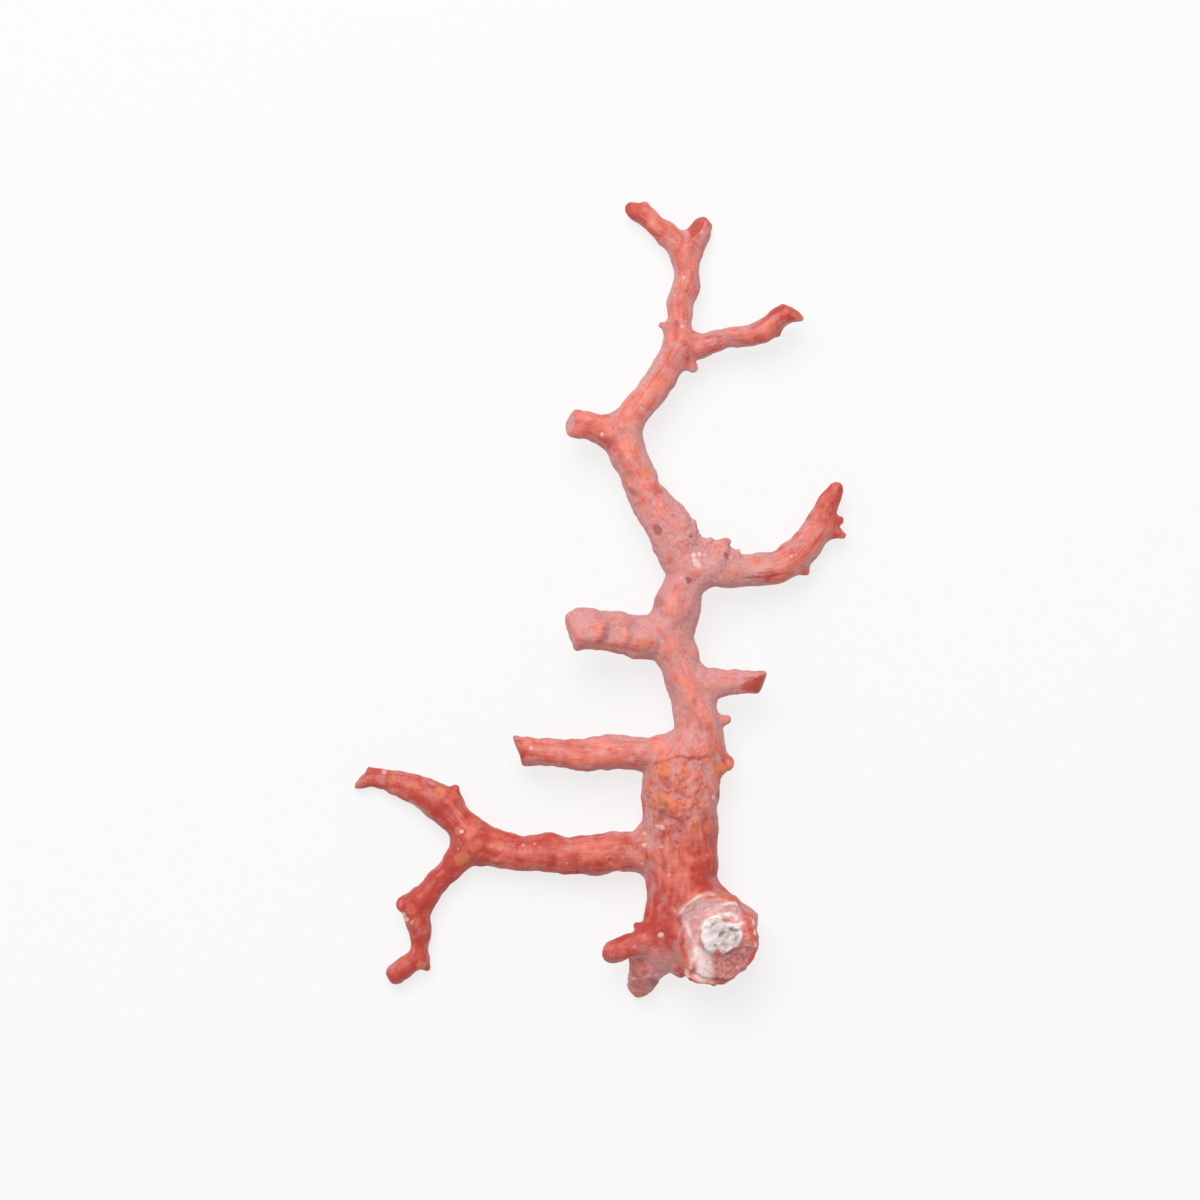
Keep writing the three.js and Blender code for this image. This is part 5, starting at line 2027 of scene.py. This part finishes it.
@dataclass(frozen=True)
class Studio:
    """A pale floor under soft light, and a long lens that looks straight down."""

    view_width: float = 192.0
    lens: float = 150.0
    film_width: float = 36.0
    focus_height: float = 6.0
    floor_side: float = 3.0
    sky: float = 0.4
    overhead_side: float = 0.7
    overhead_place: Point = (-0.15, 0.5, 0.95)
    overhead_watts: float = 10.2
    floor_colour: Colour = (0.18, 0.18, 0.18, 1.0)
    floor_glow: float = 0.765

    def camera(self) -> None:
        """Makes the camera, with the photo's width at the height of the limbs."""
        data = bpy.data.cameras.new("camera")
        data.lens = self.lens
        data.sensor_width = self.film_width
        data.clip_start, data.clip_end = 0.01, 20.0
        made = bpy.data.objects.new("camera", data)
        distance = self.view_width * self.lens / self.film_width
        x, y, _ = PLACE.shift
        made.location = (x * MM, y * MM, (self.focus_height + distance) * MM)
        bpy.context.scene.collection.objects.link(made)
        bpy.context.scene.camera = made

    def floor(self) -> None:
        """Lays the floor."""
        half = self.floor_side / 2
        low = PLACE.floor * MM
        points = np.array([(-half, -half, low), (half, -half, low), (half, half, low), (-half, half, low)])
        mesh = build_mesh("floor", points, np.arange(4), np.array([0]))
        material = bpy.data.materials.new("pale floor")
        sheet = NodeSheet(material)
        sockets = {
            "Base Color": self.floor_colour,
            "Roughness": 0.9,
            "Specular IOR Level": 0.1,
            "Emission Color": (1.0, 1.0, 1.0, 1.0),
            "Emission Strength": self.floor_glow,
        }
        shader = sheet.node("ShaderNodeBsdfPrincipled", {}, sockets)
        sheet.node("ShaderNodeOutputMaterial", {}, {"Surface": shader.outputs[0]})
        mesh.materials.append(material)
        made = bpy.data.objects.new("floor", mesh)
        bpy.context.scene.collection.objects.link(made)

    def lights(self) -> None:
        """Hangs a wide soft light overhead in a pale room."""
        world = bpy.data.worlds.new("room")
        bpy.context.scene.world = world
        sheet = NodeSheet(world)
        room = sheet.node("ShaderNodeBackground", {}, {"Color": (1.0, 1.0, 1.0, 1.0), "Strength": self.sky})
        sheet.node("ShaderNodeOutputWorld", {}, {"Surface": room.outputs[0]})
        data = bpy.data.lights.new("overhead", "AREA")
        data.shape = "SQUARE"
        data.size = self.overhead_side
        data.energy = self.overhead_watts
        made = bpy.data.objects.new("overhead", data)
        made.location = self.overhead_place
        made.rotation_euler = Vector(self.overhead_place).to_track_quat("Z", "Y").to_euler()
        bpy.context.scene.collection.objects.link(made)

    def build(self) -> None:
        """Builds the camera, the floor and the lights."""
        self.camera()
        self.floor()
        self.lights()
        bpy.context.scene.view_settings.view_transform = "Standard"


def main() -> None:
    """Builds the studio, grows the skin, and dresses each stretch of the branch."""
    logging.basicConfig(level=logging.INFO, format="%(message)s")
    Studio().build()
    stretches = [Stem(), Foot(), LowFork(), SideBranches(), Crown()]
    limbs = [limb for stretch in stretches for limb in stretch.limbs]
    knobs = [knob for stretch in stretches for knob in stretch.knobs]
    coral = CoralField(limbs, knobs, [slab for stretch in stretches for slab in stretch.slabs])
    skinner = Skinner(coral, PLACE.cell)
    skinner.sample()
    skin = skinner.lay()
    log.info("skin: %d points, %d faces", len(skin.points), len(skin.quads))
    weather = Weather(coral, skin, Noise())
    weather.grain()
    weather.snaps()
    for stretch in stretches:
        stretch.weather(weather)
    for scatter in SCATTERS:
        weather.scatter(scatter)
    weather.relief()
    parted = PartedSkin(skin, [cut for stretch in stretches for cut in stretch.cuts])
    finishes = {finish.slot: finish.build() for finish in FINISHES}
    for stretch in stretches:
        objects = stretch.build(parted)
        stretch.dress(objects, finishes)
        log.info("%s: %s", type(stretch).__name__, ", ".join(objects))


if __name__ == "__main__":
    main()
